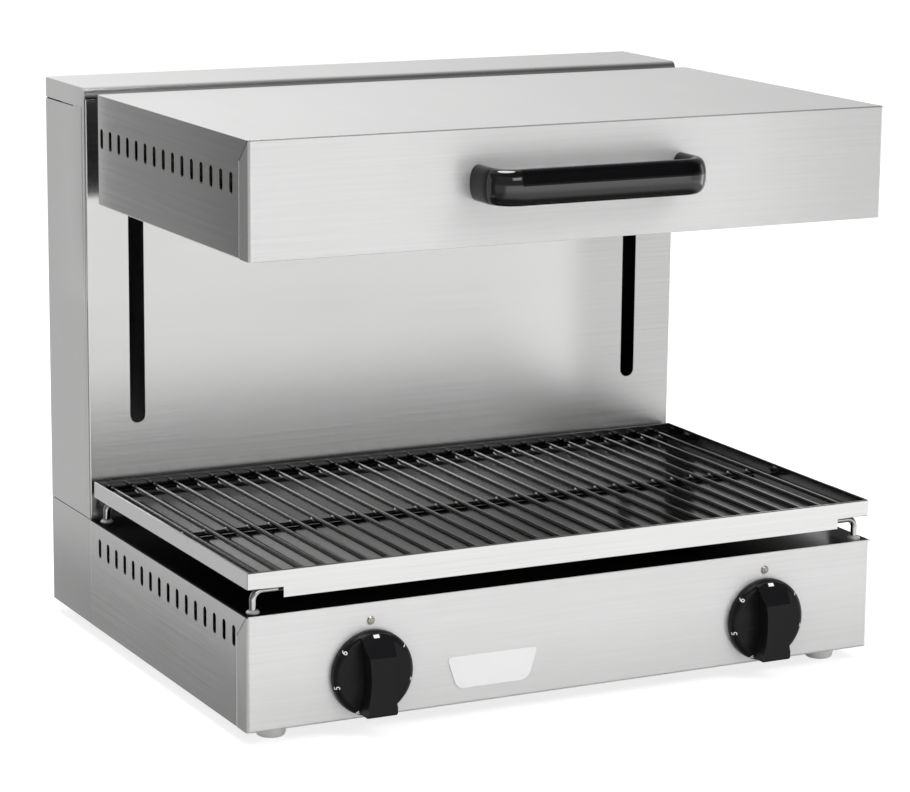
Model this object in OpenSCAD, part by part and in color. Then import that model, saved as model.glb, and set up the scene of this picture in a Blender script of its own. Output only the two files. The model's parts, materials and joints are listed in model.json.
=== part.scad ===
// Counter-top electric salamander grill with a hood that slides up and down on a rear column.
// Every module is drawn in one working frame: x to the right, y = -depth, where depth is the
// distance in front of the rear face, and z from the underside of the base. placed() moves that
// frame so that the origin is the centre of the whole machine's footprint, on the worktop.

/* [Cabinet] */
// Width of the base and the column
width = 600; // [500:10:800]
// Thickness of the folded stainless sheet
sheet = 1.2; // [0.8:0.1:1.5]
// Hairline between two folded sheets
seam = 0.7; // [0.2:0.1:0.8]
// Width of the inward flanges that the sheets are fixed by
flange = 12; // [8:1:16]

/* [Base] */
// Depth of the base from the rear face to the control panel
base_depth = 457; // [420:1:520]
// Height of the base without its feet
base_h = 98; // [90:1:120]
// How far the control panel wraps round each side
panel_return = 22; // [16:1:30]
// Width of the control panel's lip under the top sheet
panel_lip = 7; // [5:0.5:7.5]
// Width of the control panel's lip along the bottom
panel_foot = 13; // [10:0.5:13]
// Height of the feet
foot_h = 12; // [8:1:20]
// Radius of a foot at the base
foot_r = 14; // [12:0.5:18]
// Distance of the feet from the sides
foot_inset_x = 32.5; // [25:0.5:60]
// Distance of the feet from the front and the rear
foot_inset_d = 28; // [24:1:40]

/* [Side vents] */
// Number of vent slots in each side of the base
base_vents = 16; // [8:1:18]
// Number of vent slots in each side of the hood
hood_vents = 15; // [8:1:17]
// Width of one vent slot
vent_w = 6.6; // [3:0.1:8]
// Height of one vent slot
vent_h = 17.8; // [12:0.1:22]
// Drop of the base vents' centres below the top of the base
base_vent_drop = 22; // [18:0.5:30]
// Drop of the hood vents' centres below the top of the hood
hood_vent_drop = 38; // [30:0.5:50]

/* [Column] */
// Depth of the column
column_depth = 100; // [96:1:120]
// Height of the column's top above the underside of the base
column_h = 487; // [480:1:520]
// Height of the cap's side flange
cap_flange = 18; // [14:0.5:24]
// Height of the cap's front lip
cap_lip = 9; // [6:0.5:12]
// Length of the open slit under the cap's flange, from the rear
cap_slit = 71; // [40:1:75]
// How far the column's front sheet wraps round each side
column_return = 8; // [6:0.5:12]
// Distance of each guide slot from the side
slot_inset = 46.6; // [42:0.2:52]
// Width of a guide slot
slot_w = 14.5; // [13:0.1:18]
// Height of a guide slot's lower end
slot_bottom = 183; // [175:1:200]

/* [Hood] */
// How far the hood's sides stand inside the cabinet's
hood_inset = 3; // [0:0.5:8]
// Gap between the column and the hood
hood_gap = 24; // [20:1:30]
// Depth of the hood
hood_depth = 333; // [320:1:380]
// Height of the hood
hood_h = 97; // [90:1:110]
// Drop of the raised hood's top below the column's top
hood_drop = 3; // [2:0.5:6]
// How far the hood's front sheet wraps round each side
hood_return = 20; // [14:1:26]
// Height of the reflector's roof above the hood's underside
reflector_h = 48; // [42:1:56]
// Thickness of the insulation over the reflector
insulation_t = 20; // [10:1:26]

/* [Heating elements] */
// Radius of the sheathed heating tube
element_r = 4.25; // [3.25:0.25:4.5]
// Distance of a zone's outer runs from the zone's edge
element_edge = 30; // [26:1:36]
// Height of the tube's axis above the hood's underside
element_z = 20; // [16:0.5:26]

/* [Handle] */
// Length of the handle
handle_l = 206; // [150:1:260]
// Height of the handle's bar
handle_h = 30; // [22:1:36]
// Thickness of the handle's bar
handle_t = 16; // [12:0.5:18]
// How far the handle stands out of the hood
handle_out = 47; // [40:1:60]
// Outer radius of the handle's corners in plan
handle_bend = 26; // [20:1:36]

/* [Tray and grid] */
// Gap between the column and the tray
tray_gap = 6; // [3:0.5:12]
// How far the tray's sides stand inside the cabinet's
tray_inset = 1.5; // [0:0.5:6]
// Distance of the tray's front behind the control panel
tray_setback = 3; // [2:0.5:8]
// Clear height between the base and the tray
tray_lift = 21.5; // [18:0.5:30]
// Height of the tray's side walls
tray_h = 14.5; // [12:0.5:20]
// Drop of the front skirt below the tray
skirt_drop = 9; // [5:0.5:12]
// Distance of the front skirt's ends from the cabinet's sides
skirt_inset = 33.5; // [20:0.5:60]
// Thickness of the tray's sheet
tray_sheet = 1; // [0.8:0.1:1.5]
// Radius of the bent rods under the tray
rod_r = 3; // [2.5:0.25:4]
// Distance of the rods' legs from the sides
rod_inset_x = 10; // [8:0.5:14]
// Distance of the front rod behind the control panel
rod_inset_d = 12; // [11.5:0.5:20]
// Number of wires in the grid
wire_count = 29; // [15:1:33]
// Radius of a wire
wire_r = 2; // [1.5:0.1:2.5]
// Distance of the end cross wires inside the tray's front and rear
cross_inset = 14; // [12:1:40]

/* [Controls] */
// Distance of each knob from the side
knob_inset = 110; // [70:1:150]
// Height of the knobs' axes
knob_z = 39; // [38:0.5:60]
// Radius of a knob's skirt
knob_r = 36.5; // [30:0.5:37]
// Height of a knob's skirt
knob_skirt = 8.6; // [7:0.1:12]
// Height of the grip above the skirt
grip_h = 15; // [10:0.5:20]
// Half width of the grip at its waist
grip_waist = 10.5; // [8:0.5:13]
// Height of the pilot lamps
lamp_z = 83; // [80:0.5:110]
// Radius of a pilot lamp's bezel
lamp_r = 3.6; // [3.5:0.1:5]

/* [Lift mechanism] */
// Depth of the guide rods' axes
guide_d = 61; // [58:0.5:63]
// Radius of the hood's guide rods
guide_r = 6; // [5:0.5:7]
// Radius of the counterweight's guide rods
weight_rod_r = 4; // [3:0.5:5]
// Distance of the counterweight's guide rods from the sides
weight_rod_inset = 150; // [130:1:180]
// Pitch radius of the cable pulleys
pulley_r = 20; // [17:0.5:20.5]
// Radius of the steel cable
cable_r = 1.5; // [1:0.1:2]
// Distance of the counterweight's ends from the sides
weight_inset = 100; // [95:1:120]
// Depth of the counterweight
weight_d = 46; // [30:1:50]
// Height of the counterweight
weight_h = 70; // [30:1:80]

/* [Clearances] */
// Gap between a curved piece and another body that it rests on
rest_gap = 0.3; // [0.25:0.05:0.4]
// Radial clearance of a running or a seated fit
fit_gap = 0.05; // [0.02:0.01:0.08]
// Clear height between the lowered hood's arm and the slot's end
arm_stop_gap = 5; // [4:0.5:10]

/* [Hidden] */
$fn = 48;

half_w = width / 2;
inner_w = half_w - sheet;
cut = 1;
slot_x = half_w - slot_inset;
knob_x = half_w - knob_inset;
slit_gap = 1;

// Screws of the rear panel
screw_r = 1.9;
screw_head_r = 4;
screw_head_h = 2.2;
screw_l = 8;
screw_low = 70;
screw_mid = 210;
screw_top = 40;

// Vents in the rear panel and the bottom
rear_vents = 16;
rear_vent_inset = 150;
rear_vent_low = 20;
rear_vent_high = 60;
floor_vents = 12;
floor_vent_pitch = 30;
floor_vent_h = 40;
floor_vent_d = [180, 300];

// Cable gland in the rear panel
gland_inset = 80;
gland_x = half_w - gland_inset;
gland_z = 40;
gland_out = 14;
gland_in = 12;
gland_bore_r = 5.5;
gland_thread_r = 9.9;
gland_nut_r = 12;

// Terminal block on the bottom, five poles
terminal_shift = 65;
terminal_x = gland_x - terminal_shift;
terminal_d = 143;
terminal_count = 5;
terminal_pitch = 12;
terminal_w = 26;
terminal_foot = 6;
terminal_h = 24;

// Hood, drawn raised
hood_half = half_w - hood_inset;
hood_back = column_depth + hood_gap;
hood_face = hood_back + hood_depth;
hood_top = column_h - hood_drop;
hood_z = hood_top - hood_h;
vent_first_gap = 9.2;
hood_vent_last_gap = 36.5;
base_vent_first_gap = 23.3;
base_vent_last_gap = 28;

// Tray and rods
tray_half = half_w - tray_inset;
skirt_half = half_w - skirt_inset;
tray_back = column_depth + tray_gap;
tray_face = base_depth - tray_setback;
tray_z = base_h + tray_lift;
tray_mid = (tray_back + tray_face) / 2;
tray_hem = 2.4;
rod_x = half_w - rod_inset_x;
rod_front_d = base_depth - rod_inset_d;
rod_rear_d = tray_back + tray_face - rod_front_d;
rod_bend = 8;
rod_tail = 8;
rod_z = tray_z - rest_gap - rod_r;
collar_r = 5.6;
collar_h = 2.6;
cross_z = tray_z + tray_sheet + rest_gap + wire_r;
weld_sink = 0.3;
cross_pitch = (tray_face - tray_back) / 2 - cross_inset;
wire_z = cross_z + 2 * wire_r - weld_sink;
wire_margin = 16.4;
wire_pitch = 2 * (tray_half - wire_margin) / (wire_count - 1);
wire_end_gap = 3;

// Arms and carriages
arm_w = slot_w - 3.5;
arm_h = 45;
arm_wall = 1.5;
arm_window = 12;
arm_window_gap = 3;
arm_window_z = 8;
arm_z = hood_z + 16;
arm_plate_t = 3;
arm_plate_w = 42;
arm_plate_h = 70;
arm_plate_z = hood_z + 4;
arm_bolt_r = 2.5;
arm_bolt_x = 15;
arm_bolt_z = 26;
carriage_w = 40;
carriage_d = 34;
carriage_z = arm_z - 5;
carriage_h = 76;
bush_wall = 2;
bush_l = 15;
hood_travel = arm_z - slot_bottom - arm_stop_gap;

// Counterweight, pulleys and cables
beam_t = 6;
beam_d = 44;
beam_z = column_h - sheet - beam_t - 1.8;
beam_end = 3;
beam_ear = 22;
pulley_w = 10;
pulley_flange_r = pulley_r + 4;
pulley_x = slot_x - carriage_w / 2 - 8.4 - pulley_r;
pulley_z = beam_z - pulley_flange_r - 2;
pin_r = 4;
clevis_t = 3;
clevis_w = 24;
clevis_gap = 0.5;
lug_h = 8;
lug_z = carriage_z + 8;
lug_reach = 14.4;
weight_half = half_w - weight_inset;
weight_rod_x = half_w - weight_rod_inset;
weight_z = 12;
stud_h = 10;
stud_r = 4;
socket_r = 5;
socket_h = 9;
buffer_r = 10;
buffer_x = weight_rod_x - 60;

// Heating elements
run_count = 6;
reflector_inset = 27;
reflector_half = hood_half - reflector_inset;
reflector_back = hood_back + 26;
reflector_face = hood_face - 22;
reflector_slope = 18;
zone_x = reflector_half / 2;
element_pitch = (reflector_half - 2 * element_edge) / (run_count - 1);
bend_front_d = reflector_face - reflector_slope - element_r - element_pitch / 2;
bend_rear_d = reflector_back + 23 + element_pitch / 2;
element_tail_d = reflector_back - 9;
element_pin_r = 2;
element_pin_l = 10;
bushing_r = element_r + 1.2;
bushing_flange_r = element_r + 3;
support_inset = 36;
support_d = [bend_rear_d + support_inset, bend_front_d - support_inset];
support_end = 5;
support_w = 10;
support_t = 1.5;
support_gap = 0.2;
support_x = (run_count - 1) / 2 * element_pitch + 13;
post_r = 2.5;

// Handle, its section a superellipse
handle_raise = 4;
handle_z = hood_z + hood_h / 2 + handle_raise;
handle_power = 2.3;
handle_steps = 40;
handle_screw_r = 2.5;
handle_screw_l = 16;

// Knobs and regulators
knob_gap = 1;
knob_back = base_depth + knob_gap;
knob_wall = 2.6;
knob_face_dish = 0.6;
grip_flat_top = 18;
grip_slope_end = knob_r - 1.5;
grip_tail = 30;
knob_shoulder = 6;
knob_steps = 8;
hub_r = 7;
shaft_r = 3;
regulator_w = 44;
regulator_h = 44;
regulator_d = 40;
neck_r = 5;
neck_out = 3;
shaft_in = 24;
shaft_out = 16;
regulator_screw_r = 2;
regulator_screw_z = 15;
lens_r = lamp_r - 1.4;
lamp_body_l = 22;

// Badge plate, plain
badge_inset = 223;
badge_x = badge_inset - half_w;
badge_z = 28;
badge_w = 86;
badge_h = 28;
badge_t = 1.2;
badge_corner = 6;
badge_taper = 8;

// The machine's overall depth runs from the gland to the handle
back_y = (hood_face + handle_out - gland_out) / 2;

// Working frame to the machine's own frame
module placed() {
    translate([0, back_y, foot_h]) children();
}

// The same piece on the right (side = 1) or mirrored on the left (side = -1)
module on_side(side) {
    if (side > 0) children();
    else mirror([1, 0, 0]) children();
}

module both_sides() {
    for (side = [-1, 1]) on_side(side) children();
}

// A block between two x, two depths and two heights
module slab(x0, x1, d0, d1, z0, z1) {
    translate([x0, -d1, z0]) cube([x1 - x0, d1 - d0, z1 - z0]);
}

// A sheet drawn in (depth, z) and standing at x0
module side_plate(x0, t = sheet) {
    translate([x0 + t, 0, 0]) rotate([90, 0, -90]) linear_extrude(t) children();
}

// A sheet drawn in (x, z) with its rear face at depth d0
module front_plate(d0, t = sheet) {
    translate([0, -d0, 0]) rotate([90, 0, 0]) linear_extrude(t) children();
}

// A round bar along the depth from d0 to d1
module bar_d(x, z, r, d0, d1) {
    translate([x, -d0, z]) rotate([90, 0, 0]) cylinder(r = r, h = d1 - d0);
}

// A round bar along x from x0 to x1
module bar_x(d, z, r, x0, x1) {
    translate([x0, -d, z]) rotate([0, 90, 0]) cylinder(r = r, h = x1 - x0);
}

// An upright round bar from z0 to z1
module bar_z(x, d, r, z0, z1) {
    translate([x, -d, z0]) cylinder(r = r, h = z1 - z0);
}

// A rectangle given by its corners
module area(u0, u1, v0, v1) {
    translate([u0, v0]) square([u1 - u0, v1 - v0]);
}

// An upright slot with round ends, centred on (u, v)
module slot_outline(u, v, w, h) {
    translate([u, v]) {
        square([w, h - w], center = true);
        for (end = [-1, 1]) translate([0, end * (h - w) / 2]) circle(r = w / 2);
    }
}

// A row of count upright slots from u0 to u1
module slot_row(u0, u1, v, count) {
    for (i = [0:count - 1]) slot_outline(u0 + i * (u1 - u0) / (count - 1), v, vent_w, vent_h);
}

// A rectangle with round corners, centred on the origin
module round_rect(w, h, r) {
    square([w - 2 * r, h], center = true);
    square([w, h - 2 * r], center = true);
    for (i = [-1, 1], j = [-1, 1]) translate([i * (w / 2 - r), j * (h / 2 - r)]) circle(r = r);
}

// A side return of a front sheet: reach long, mitred towards the top front corner
module return_outline(face, reach, z0, z1) {
    polygon([[face - sheet, z0], [face - reach, z0], [face - reach, z1 - reach + sheet],
        [face - 2 * sheet, z1 - sheet], [face - sheet, z1 - sheet]]);
}

// The corner that a side sheet leaves free for that return, a seam larger
module return_cut(face, reach, z0, z1) {
    d0 = face - reach - seam;
    lift = z1 - reach + sheet + (sqrt(2) - 1) * seam;
    polygon([[face + cut, z0 - cut], [d0, z0 - cut], [d0, lift],
        [face + cut, lift + face + cut - d0]]);
}

module base_bottom() {
    color("lightgray") placed() difference() {
        union() {
            slab(-inner_w, inner_w, sheet, base_depth - panel_foot - seam, 0, sheet);
            both_sides() slab(inner_w - sheet, inner_w, sheet + flange + seam,
                base_depth - panel_return - seam, sheet, sheet + flange);
        }
        foot_places() translate([0, 0, -cut]) cylinder(r = 2.2, h = sheet + 2 * cut);
        for (i = [0:floor_vents - 1], d = floor_vent_d)
            translate([(i - (floor_vents - 1) / 2) * floor_vent_pitch, -d, -cut])
            linear_extrude(sheet + 2 * cut) slot_outline(0, 0, vent_w, floor_vent_h);
    }
}

// The four feet's axes
module foot_places() {
    for (x = [-1, 1], d = [foot_inset_d, base_depth - foot_inset_d])
        translate([x * (half_w - foot_inset_x), -d, 0]) children();
}

module feet() {
    color("gainsboro") placed() foot_places() translate([0, 0, -foot_h]) difference() {
        rotate_extrude() polygon([[0, 0], [foot_r - 3, 0], [foot_r - 2, 1], [foot_r, foot_h - 1.5],
            [foot_r - 0.6, foot_h], [0, foot_h]]);
        translate([0, 0, -cut]) cylinder(r = 5.5, h = 5 + cut);
        translate([0, 0, -cut]) cylinder(r = 2 + fit_gap, h = foot_h + 2 * cut);
    }
}

module foot_screws() {
    color("silver") placed() foot_places() {
        translate([0, 0, 5 - foot_h]) mirror([0, 0, 1]) rotate_extrude()
            polygon([[0, 0], [4, 0], [4, 1.6], [2.6, 3], [0, 3]]);
        translate([0, 0, 5 - foot_h]) cylinder(r = 2, h = foot_h);
        translate([0, 0, sheet]) cylinder(r = 4, h = 3, $fn = 6);
    }
}

// Louvred side of the base, behind the control panel's return
module base_side(side) {
    color("silver") placed() on_side(side) side_plate(inner_w) difference() {
        area(column_depth - seam / 2, base_depth - sheet - seam, 0, base_h - sheet);
        return_cut(base_depth, panel_return, 0, base_h);
        slot_row(column_depth + base_vent_first_gap, base_depth - base_vent_last_gap,
            base_h - base_vent_drop, base_vents);
    }
}

module control_panel() {
    color("whitesmoke") placed() {
        front_plate(base_depth - sheet) difference() {
            area(-half_w, half_w, 0, base_h);
            for (x = [-knob_x, knob_x]) {
                translate([x, knob_z]) circle(r = neck_r + 0.2);
                translate([x, lamp_z]) circle(r = lens_r + 0.2);
                for (z = [-1, 1]) translate([x, knob_z + z * regulator_screw_z])
                    circle(r = regulator_screw_r + fit_gap);
            }
        }
        both_sides() side_plate(inner_w) return_outline(base_depth, panel_return, 0, base_h);
        slab(-inner_w, inner_w, base_depth - panel_foot, base_depth - sheet, 0, sheet);
        slab(-inner_w, inner_w, base_depth - sheet - panel_lip, base_depth - sheet,
            base_h - 2 * sheet, base_h - sheet);
    }
}

module base_top() {
    color("silver") placed() difference() {
        union() {
            slab(-half_w, half_w, column_depth, base_depth - sheet, base_h - sheet, base_h);
            slab(-inner_w, inner_w, column_depth, column_depth + sheet, base_h - flange,
                base_h - sheet);
        }
        rod_legs() translate([0, 0, base_h - sheet - cut])
            cylinder(r = rod_r + fit_gap, h = sheet + 2 * cut);
    }
}

// The four points where the tray rods' legs pass through the base's top
module rod_legs() {
    for (x = [-rod_x, rod_x], d = [rod_front_d, rod_rear_d]) translate([x, -d, 0]) children();
}

// Side of the cabinet below the column
module lower_side(side) {
    color("silver") placed() on_side(side) {
        side_plate(inner_w) area(0, column_depth - 1.5 * seam, 0, base_h - seam);
        rear_flange(sheet, base_h - seam);
    }
}

// Inward flange that the rear panel is screwed to
module rear_flange(z0, z1) {
    front_plate(sheet) difference() {
        area(inner_w - flange, inner_w, z0, z1);
        for (z = screw_heights()) translate([screw_x(), z]) circle(r = screw_r + fit_gap);
    }
}

function screw_x() = inner_w - flange / 2;
function screw_heights() = [base_h * 0.3, base_h + screw_low, base_h + screw_mid,
    column_h - screw_top];

module column_side(side) {
    color("silver") placed() on_side(side) {
        side_plate(inner_w) {
            area(0, column_depth - column_return - seam, base_h, column_h - cap_flange - slit_gap);
            area(cap_slit, column_depth - column_return - seam, base_h, column_h - cap_flange);
        }
        rear_flange(base_h, column_h - cap_flange);
    }
}

module column_front() {
    color("gainsboro") placed() {
        front_plate(column_depth - sheet) difference() {
            union() {
                area(-half_w, half_w, base_h, column_h - cap_lip - seam);
                area(-inner_w + seam, inner_w - seam, base_h - flange, base_h);
            }
            for (x = [-slot_x, slot_x]) slot_outline(x, (slot_bottom + hood_top - 10) / 2, slot_w,
                hood_top - 10 - slot_bottom);
        }
        both_sides() side_plate(inner_w) area(column_depth - column_return,
            column_depth - sheet, base_h, column_h - cap_flange);
    }
}

module column_cap() {
    color("whitesmoke") placed() {
        slab(-half_w, half_w, 0, column_depth, column_h - sheet, column_h);
        slab(-inner_w, inner_w, column_depth - sheet, column_depth, column_h - cap_lip,
            column_h - sheet);
        slab(-inner_w, inner_w, 0, sheet, column_h - flange, column_h - sheet);
        both_sides() slab(inner_w, half_w, 0, column_depth - sheet, column_h - cap_flange,
            column_h - sheet);
        both_sides() slab(inner_w, half_w, column_depth - sheet, column_depth,
            column_h - cap_lip, column_h - sheet);
    }
}

module rear_panel() {
    color("silver") placed() front_plate(0) difference() {
        area(-inner_w, inner_w, 0, column_h - flange - seam);
        translate([gland_x, gland_z]) circle(r = gland_thread_r + 0.1);
        for (x = [-1, 1], z = screw_heights()) translate([x * screw_x(), z])
            circle(r = screw_r + fit_gap);
        for (z = [base_h - rear_vent_low, column_h - rear_vent_high])
            slot_row(rear_vent_inset - half_w, half_w - rear_vent_inset, z, rear_vents);
    }
}

module panel_screws() {
    color("silver") placed() for (x = [-1, 1], z = screw_heights()) {
        translate([x * screw_x(), 0, z]) rotate([-90, 0, 0]) rotate_extrude()
            polygon([[0, 0], [screw_head_r, 0], [screw_head_r, screw_head_h / 2],
                [screw_head_r * 0.7, screw_head_h], [0, screw_head_h]]);
        bar_d(x * screw_x(), z, screw_r, 0, screw_l);
    }
}

// Bent round rod that the tray stands on, at depth d
module tray_rod(d) {
    color("silver") placed() {
        bar_x(d, rod_z, rod_r, -rod_x + rod_bend, rod_x - rod_bend);
        both_sides() {
            bar_z(rod_x, d, rod_r, base_h - rod_tail, rod_z - rod_bend);
            translate([rod_x - rod_bend, -d, rod_z - rod_bend]) rotate([90, 0, 0])
                rotate_extrude(angle = 90) translate([rod_bend, 0]) circle(r = rod_r);
        }
    }
}

module rod_collars() {
    color("dimgray") placed() rod_legs() translate([0, 0, base_h]) difference() {
        rotate_extrude() polygon([[0, 0], [collar_r, 0], [collar_r, 1], [collar_r - 1.4, collar_h],
            [0, collar_h]]);
        translate([0, 0, -cut]) cylinder(r = rod_r + fit_gap, h = collar_h + 2 * cut);
    }
}

// Shallow tray with a hemmed rim and a deeper skirt in front
module drip_tray() {
    half = tray_half;
    color("gainsboro") placed() {
        difference() {
            slab(-half, half, tray_back, tray_face, tray_z, tray_z + tray_h);
            slab(-half + tray_sheet, half - tray_sheet, tray_back + tray_sheet,
                tray_face - tray_sheet, tray_z + tray_sheet, tray_z + tray_h + cut);
        }
        difference() {
            slab(-half, half, tray_back, tray_face, tray_z + tray_h - tray_hem, tray_z + tray_h);
            slab(-half + 2 * tray_sheet, half - 2 * tray_sheet, tray_back + 2 * tray_sheet,
                tray_face - 2 * tray_sheet, tray_z + tray_h - tray_hem - cut, tray_z + tray_h + cut);
        }
        slab(-skirt_half, skirt_half, tray_face - tray_sheet, tray_face, tray_z - skirt_drop,
            tray_z);
    }
}

// Grid of straight wires spot-welded to three cross wires
module wire_grid() {
    span = tray_half - wire_margin;
    color("dimgray") placed() {
        for (i = [0:wire_count - 1]) bar_d(-span + i * wire_pitch, wire_z, wire_r,
            tray_back + wire_end_gap, tray_face - wire_end_gap);
        for (i = [-1:1]) bar_x(tray_mid + i * cross_pitch, cross_z, wire_r, -span - 6, span + 6);
    }
}

module hood_shell() {
    color("silver") placed() {
        slab(-hood_half, hood_half, hood_back, hood_face - sheet, hood_top - sheet, hood_top);
        front_plate(hood_back) difference() {
            area(-hood_half, hood_half, hood_z, hood_top - sheet);
            for (x = [-slot_x, slot_x]) {
                area(x - arm_w / 2 + arm_wall, x + arm_w / 2 - arm_wall, arm_z + arm_wall,
                    arm_z + arm_h - arm_wall);
                for (i = [-1, 1], j = [-1, 1]) translate([x + i * arm_bolt_x,
                    arm_plate_z + arm_plate_h / 2 + j * arm_bolt_z]) circle(r = arm_bolt_r + fit_gap);
            }
        }
        both_sides() side_plate(hood_half - sheet) difference() {
            area(hood_back + sheet, hood_face - sheet - seam, hood_z, hood_top - sheet);
            return_cut(hood_face, hood_return, hood_z, hood_top);
            slot_row(hood_back + vent_first_gap, hood_face - hood_vent_last_gap,
                hood_top - hood_vent_drop, hood_vents);
        }
        both_sides() slab(hood_half - sheet - flange, hood_half - sheet, hood_back + sheet,
            hood_face - hood_return - seam, hood_z, hood_z + sheet);
        slab(-hood_half + sheet + flange, hood_half - sheet - flange, hood_back + sheet,
            hood_back + sheet + flange, hood_z, hood_z + sheet);
    }
}

module hood_front() {
    color("whitesmoke") placed() {
        front_plate(hood_face - sheet) difference() {
            area(-hood_half, hood_half, hood_z, hood_top);
            for (x = [-1, 1]) translate([x * handle_leg_x(), handle_z])
                circle(r = handle_screw_r + fit_gap);
        }
        both_sides() side_plate(hood_half - sheet)
            return_outline(hood_face, hood_return, hood_z, hood_top);
        slab(-hood_half + sheet, hood_half - sheet, hood_face - sheet - flange, hood_face - sheet,
            hood_z, hood_z + sheet);
    }
}

// Folded reflector pan, open downwards, resting on the hood's inward flanges
module reflector() {
    z0 = hood_z + sheet;
    roof = hood_z + reflector_h;
    rim = hood_half - sheet;
    slope_d = reflector_face - reflector_slope;
    outer = [[hood_back + sheet, z0], [reflector_back + sheet, z0],
        [reflector_back + sheet, roof - sheet], [slope_d, roof - sheet],
        [reflector_face - sheet, z0], [hood_face - sheet, z0],
        [hood_face - sheet, z0 + sheet], [reflector_face, z0 + sheet], [slope_d + 1, roof],
        [reflector_back, roof], [reflector_back, z0 + sheet], [hood_back + sheet, z0 + sheet]];
    color("white") placed() difference() {
        union() {
            side_plate(-reflector_half, 2 * reflector_half) polygon(outer);
            both_sides() side_plate(reflector_half - sheet) polygon([[reflector_back, z0],
                [reflector_face, z0], [slope_d, roof], [reflector_back, roof]]);
            both_sides() slab(reflector_half - sheet, rim, hood_back + sheet, hood_face - sheet,
                z0, z0 + sheet);
        }
        for (zone = [-1, 1], end = [-1, 1]) bar_d(zone * zone_x + end * element_end_x(),
            hood_z + element_z, bushing_r + fit_gap, reflector_back - cut,
            reflector_back + sheet + cut);
    }
}

module insulation() {
    color("khaki") placed() slab(-reflector_half + 4, reflector_half - 4, reflector_back + 4,
        reflector_face - reflector_slope - 4, hood_z + reflector_h,
        hood_z + reflector_h + insulation_t);
}

function element_end_x() = (run_count - 1) / 2 * element_pitch;

// One zone's tube: parallel runs joined by half-round bends, both ends at the rear
module element(zone) {
    bend = element_pitch / 2;
    color("dimgray") placed() translate([zone * zone_x, 0, hood_z + element_z]) {
        for (i = [0:run_count - 1]) {
            end_run = i == 0 || i == run_count - 1;
            bar_d(-element_end_x() + i * element_pitch, 0, element_r,
                end_run ? element_tail_d : bend_rear_d, bend_front_d);
        }
        for (i = [0:2:run_count - 2]) translate([-element_end_x() + (i + 0.5) * element_pitch,
            -bend_front_d, 0]) mirror([0, 1, 0]) rotate_extrude(angle = 180) translate([bend, 0])
            circle(r = element_r);
        for (i = [1:2:run_count - 3]) translate([-element_end_x() + (i + 0.5) * element_pitch,
            -bend_rear_d, 0]) rotate_extrude(angle = 180) translate([bend, 0])
            circle(r = element_r);
        for (end = [-1, 1]) bar_d(end * element_end_x(), 0, element_pin_r,
            element_tail_d - element_pin_l, element_tail_d);
    }
}

module element_bushings() {
    color("ivory") placed() for (zone = [-1, 1], end = [-1, 1])
        translate([zone * zone_x + end * element_end_x(), -reflector_back, hood_z + element_z])
        rotate([90, 0, 0]) difference() {
            rotate_extrude() polygon([[0, -4], [bushing_flange_r, -4], [bushing_flange_r, 0],
                [bushing_r, 0], [bushing_r, sheet + 2], [0, sheet + 2]]);
            translate([0, 0, -4 - cut]) cylinder(r = element_r + fit_gap, h = sheet + 6 + 2 * cut);
        }
}

// Flat bars under the runs, hung from the reflector's roof on posts
module element_supports() {
    top = element_z - element_r - support_gap;
    color("silver") placed() for (zone = [-1, 1], d = support_d)
        translate([zone * zone_x, 0, hood_z]) {
            slab(-support_x - support_end, support_x + support_end, d - support_w / 2,
                d + support_w / 2, top - support_t, top);
            for (x = [-support_x, support_x]) bar_z(x, d, post_r, top, reflector_h - sheet);
        }
}

function handle_leg_x() = handle_l / 2 - handle_t / 2;

// Bridge handle: a rounded bar carried along a straight, two bends and two legs
module handle() {
    mid = handle_bend - handle_t / 2;
    run = handle_leg_x() - mid;
    color("black") placed() translate([0, -hood_face, handle_z]) difference() {
        union() {
            translate([-run, -handle_out + handle_t / 2, 0]) rotate([90, 0, 90])
                linear_extrude(2 * run) bar_section();
            both_sides() {
                translate([run, -handle_out + handle_bend, 0]) rotate([0, 0, -90])
                    rotate_extrude(angle = 90) translate([mid, 0]) bar_section();
                translate([handle_leg_x(), 0, 0]) rotate([90, 0, 0])
                    linear_extrude(handle_out - handle_bend) bar_section();
            }
        }
        for (x = [-1, 1]) translate([x * handle_leg_x(), cut, 0]) rotate([90, 0, 0])
            cylinder(r = handle_screw_r + fit_gap, h = handle_screw_l + cut);
    }
}

module bar_section() {
    polygon([for (i = [0:handle_steps - 1])
        let (c = cos(360 * i / handle_steps), s = sin(360 * i / handle_steps), e = 2 / handle_power)
        [sign(c) * pow(abs(c), e) * handle_t / 2, sign(s) * pow(abs(s), e) * handle_h / 2]]);
}

module handle_screws() {
    color("silver") placed() for (x = [-1, 1]) {
        bar_d(x * handle_leg_x(), handle_z, handle_screw_r, hood_face - sheet,
            hood_face + handle_screw_l - cut);
        bar_d(x * handle_leg_x(), handle_z, 2 * handle_screw_r, hood_face - sheet - 3,
            hood_face - sheet);
    }
}

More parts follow.
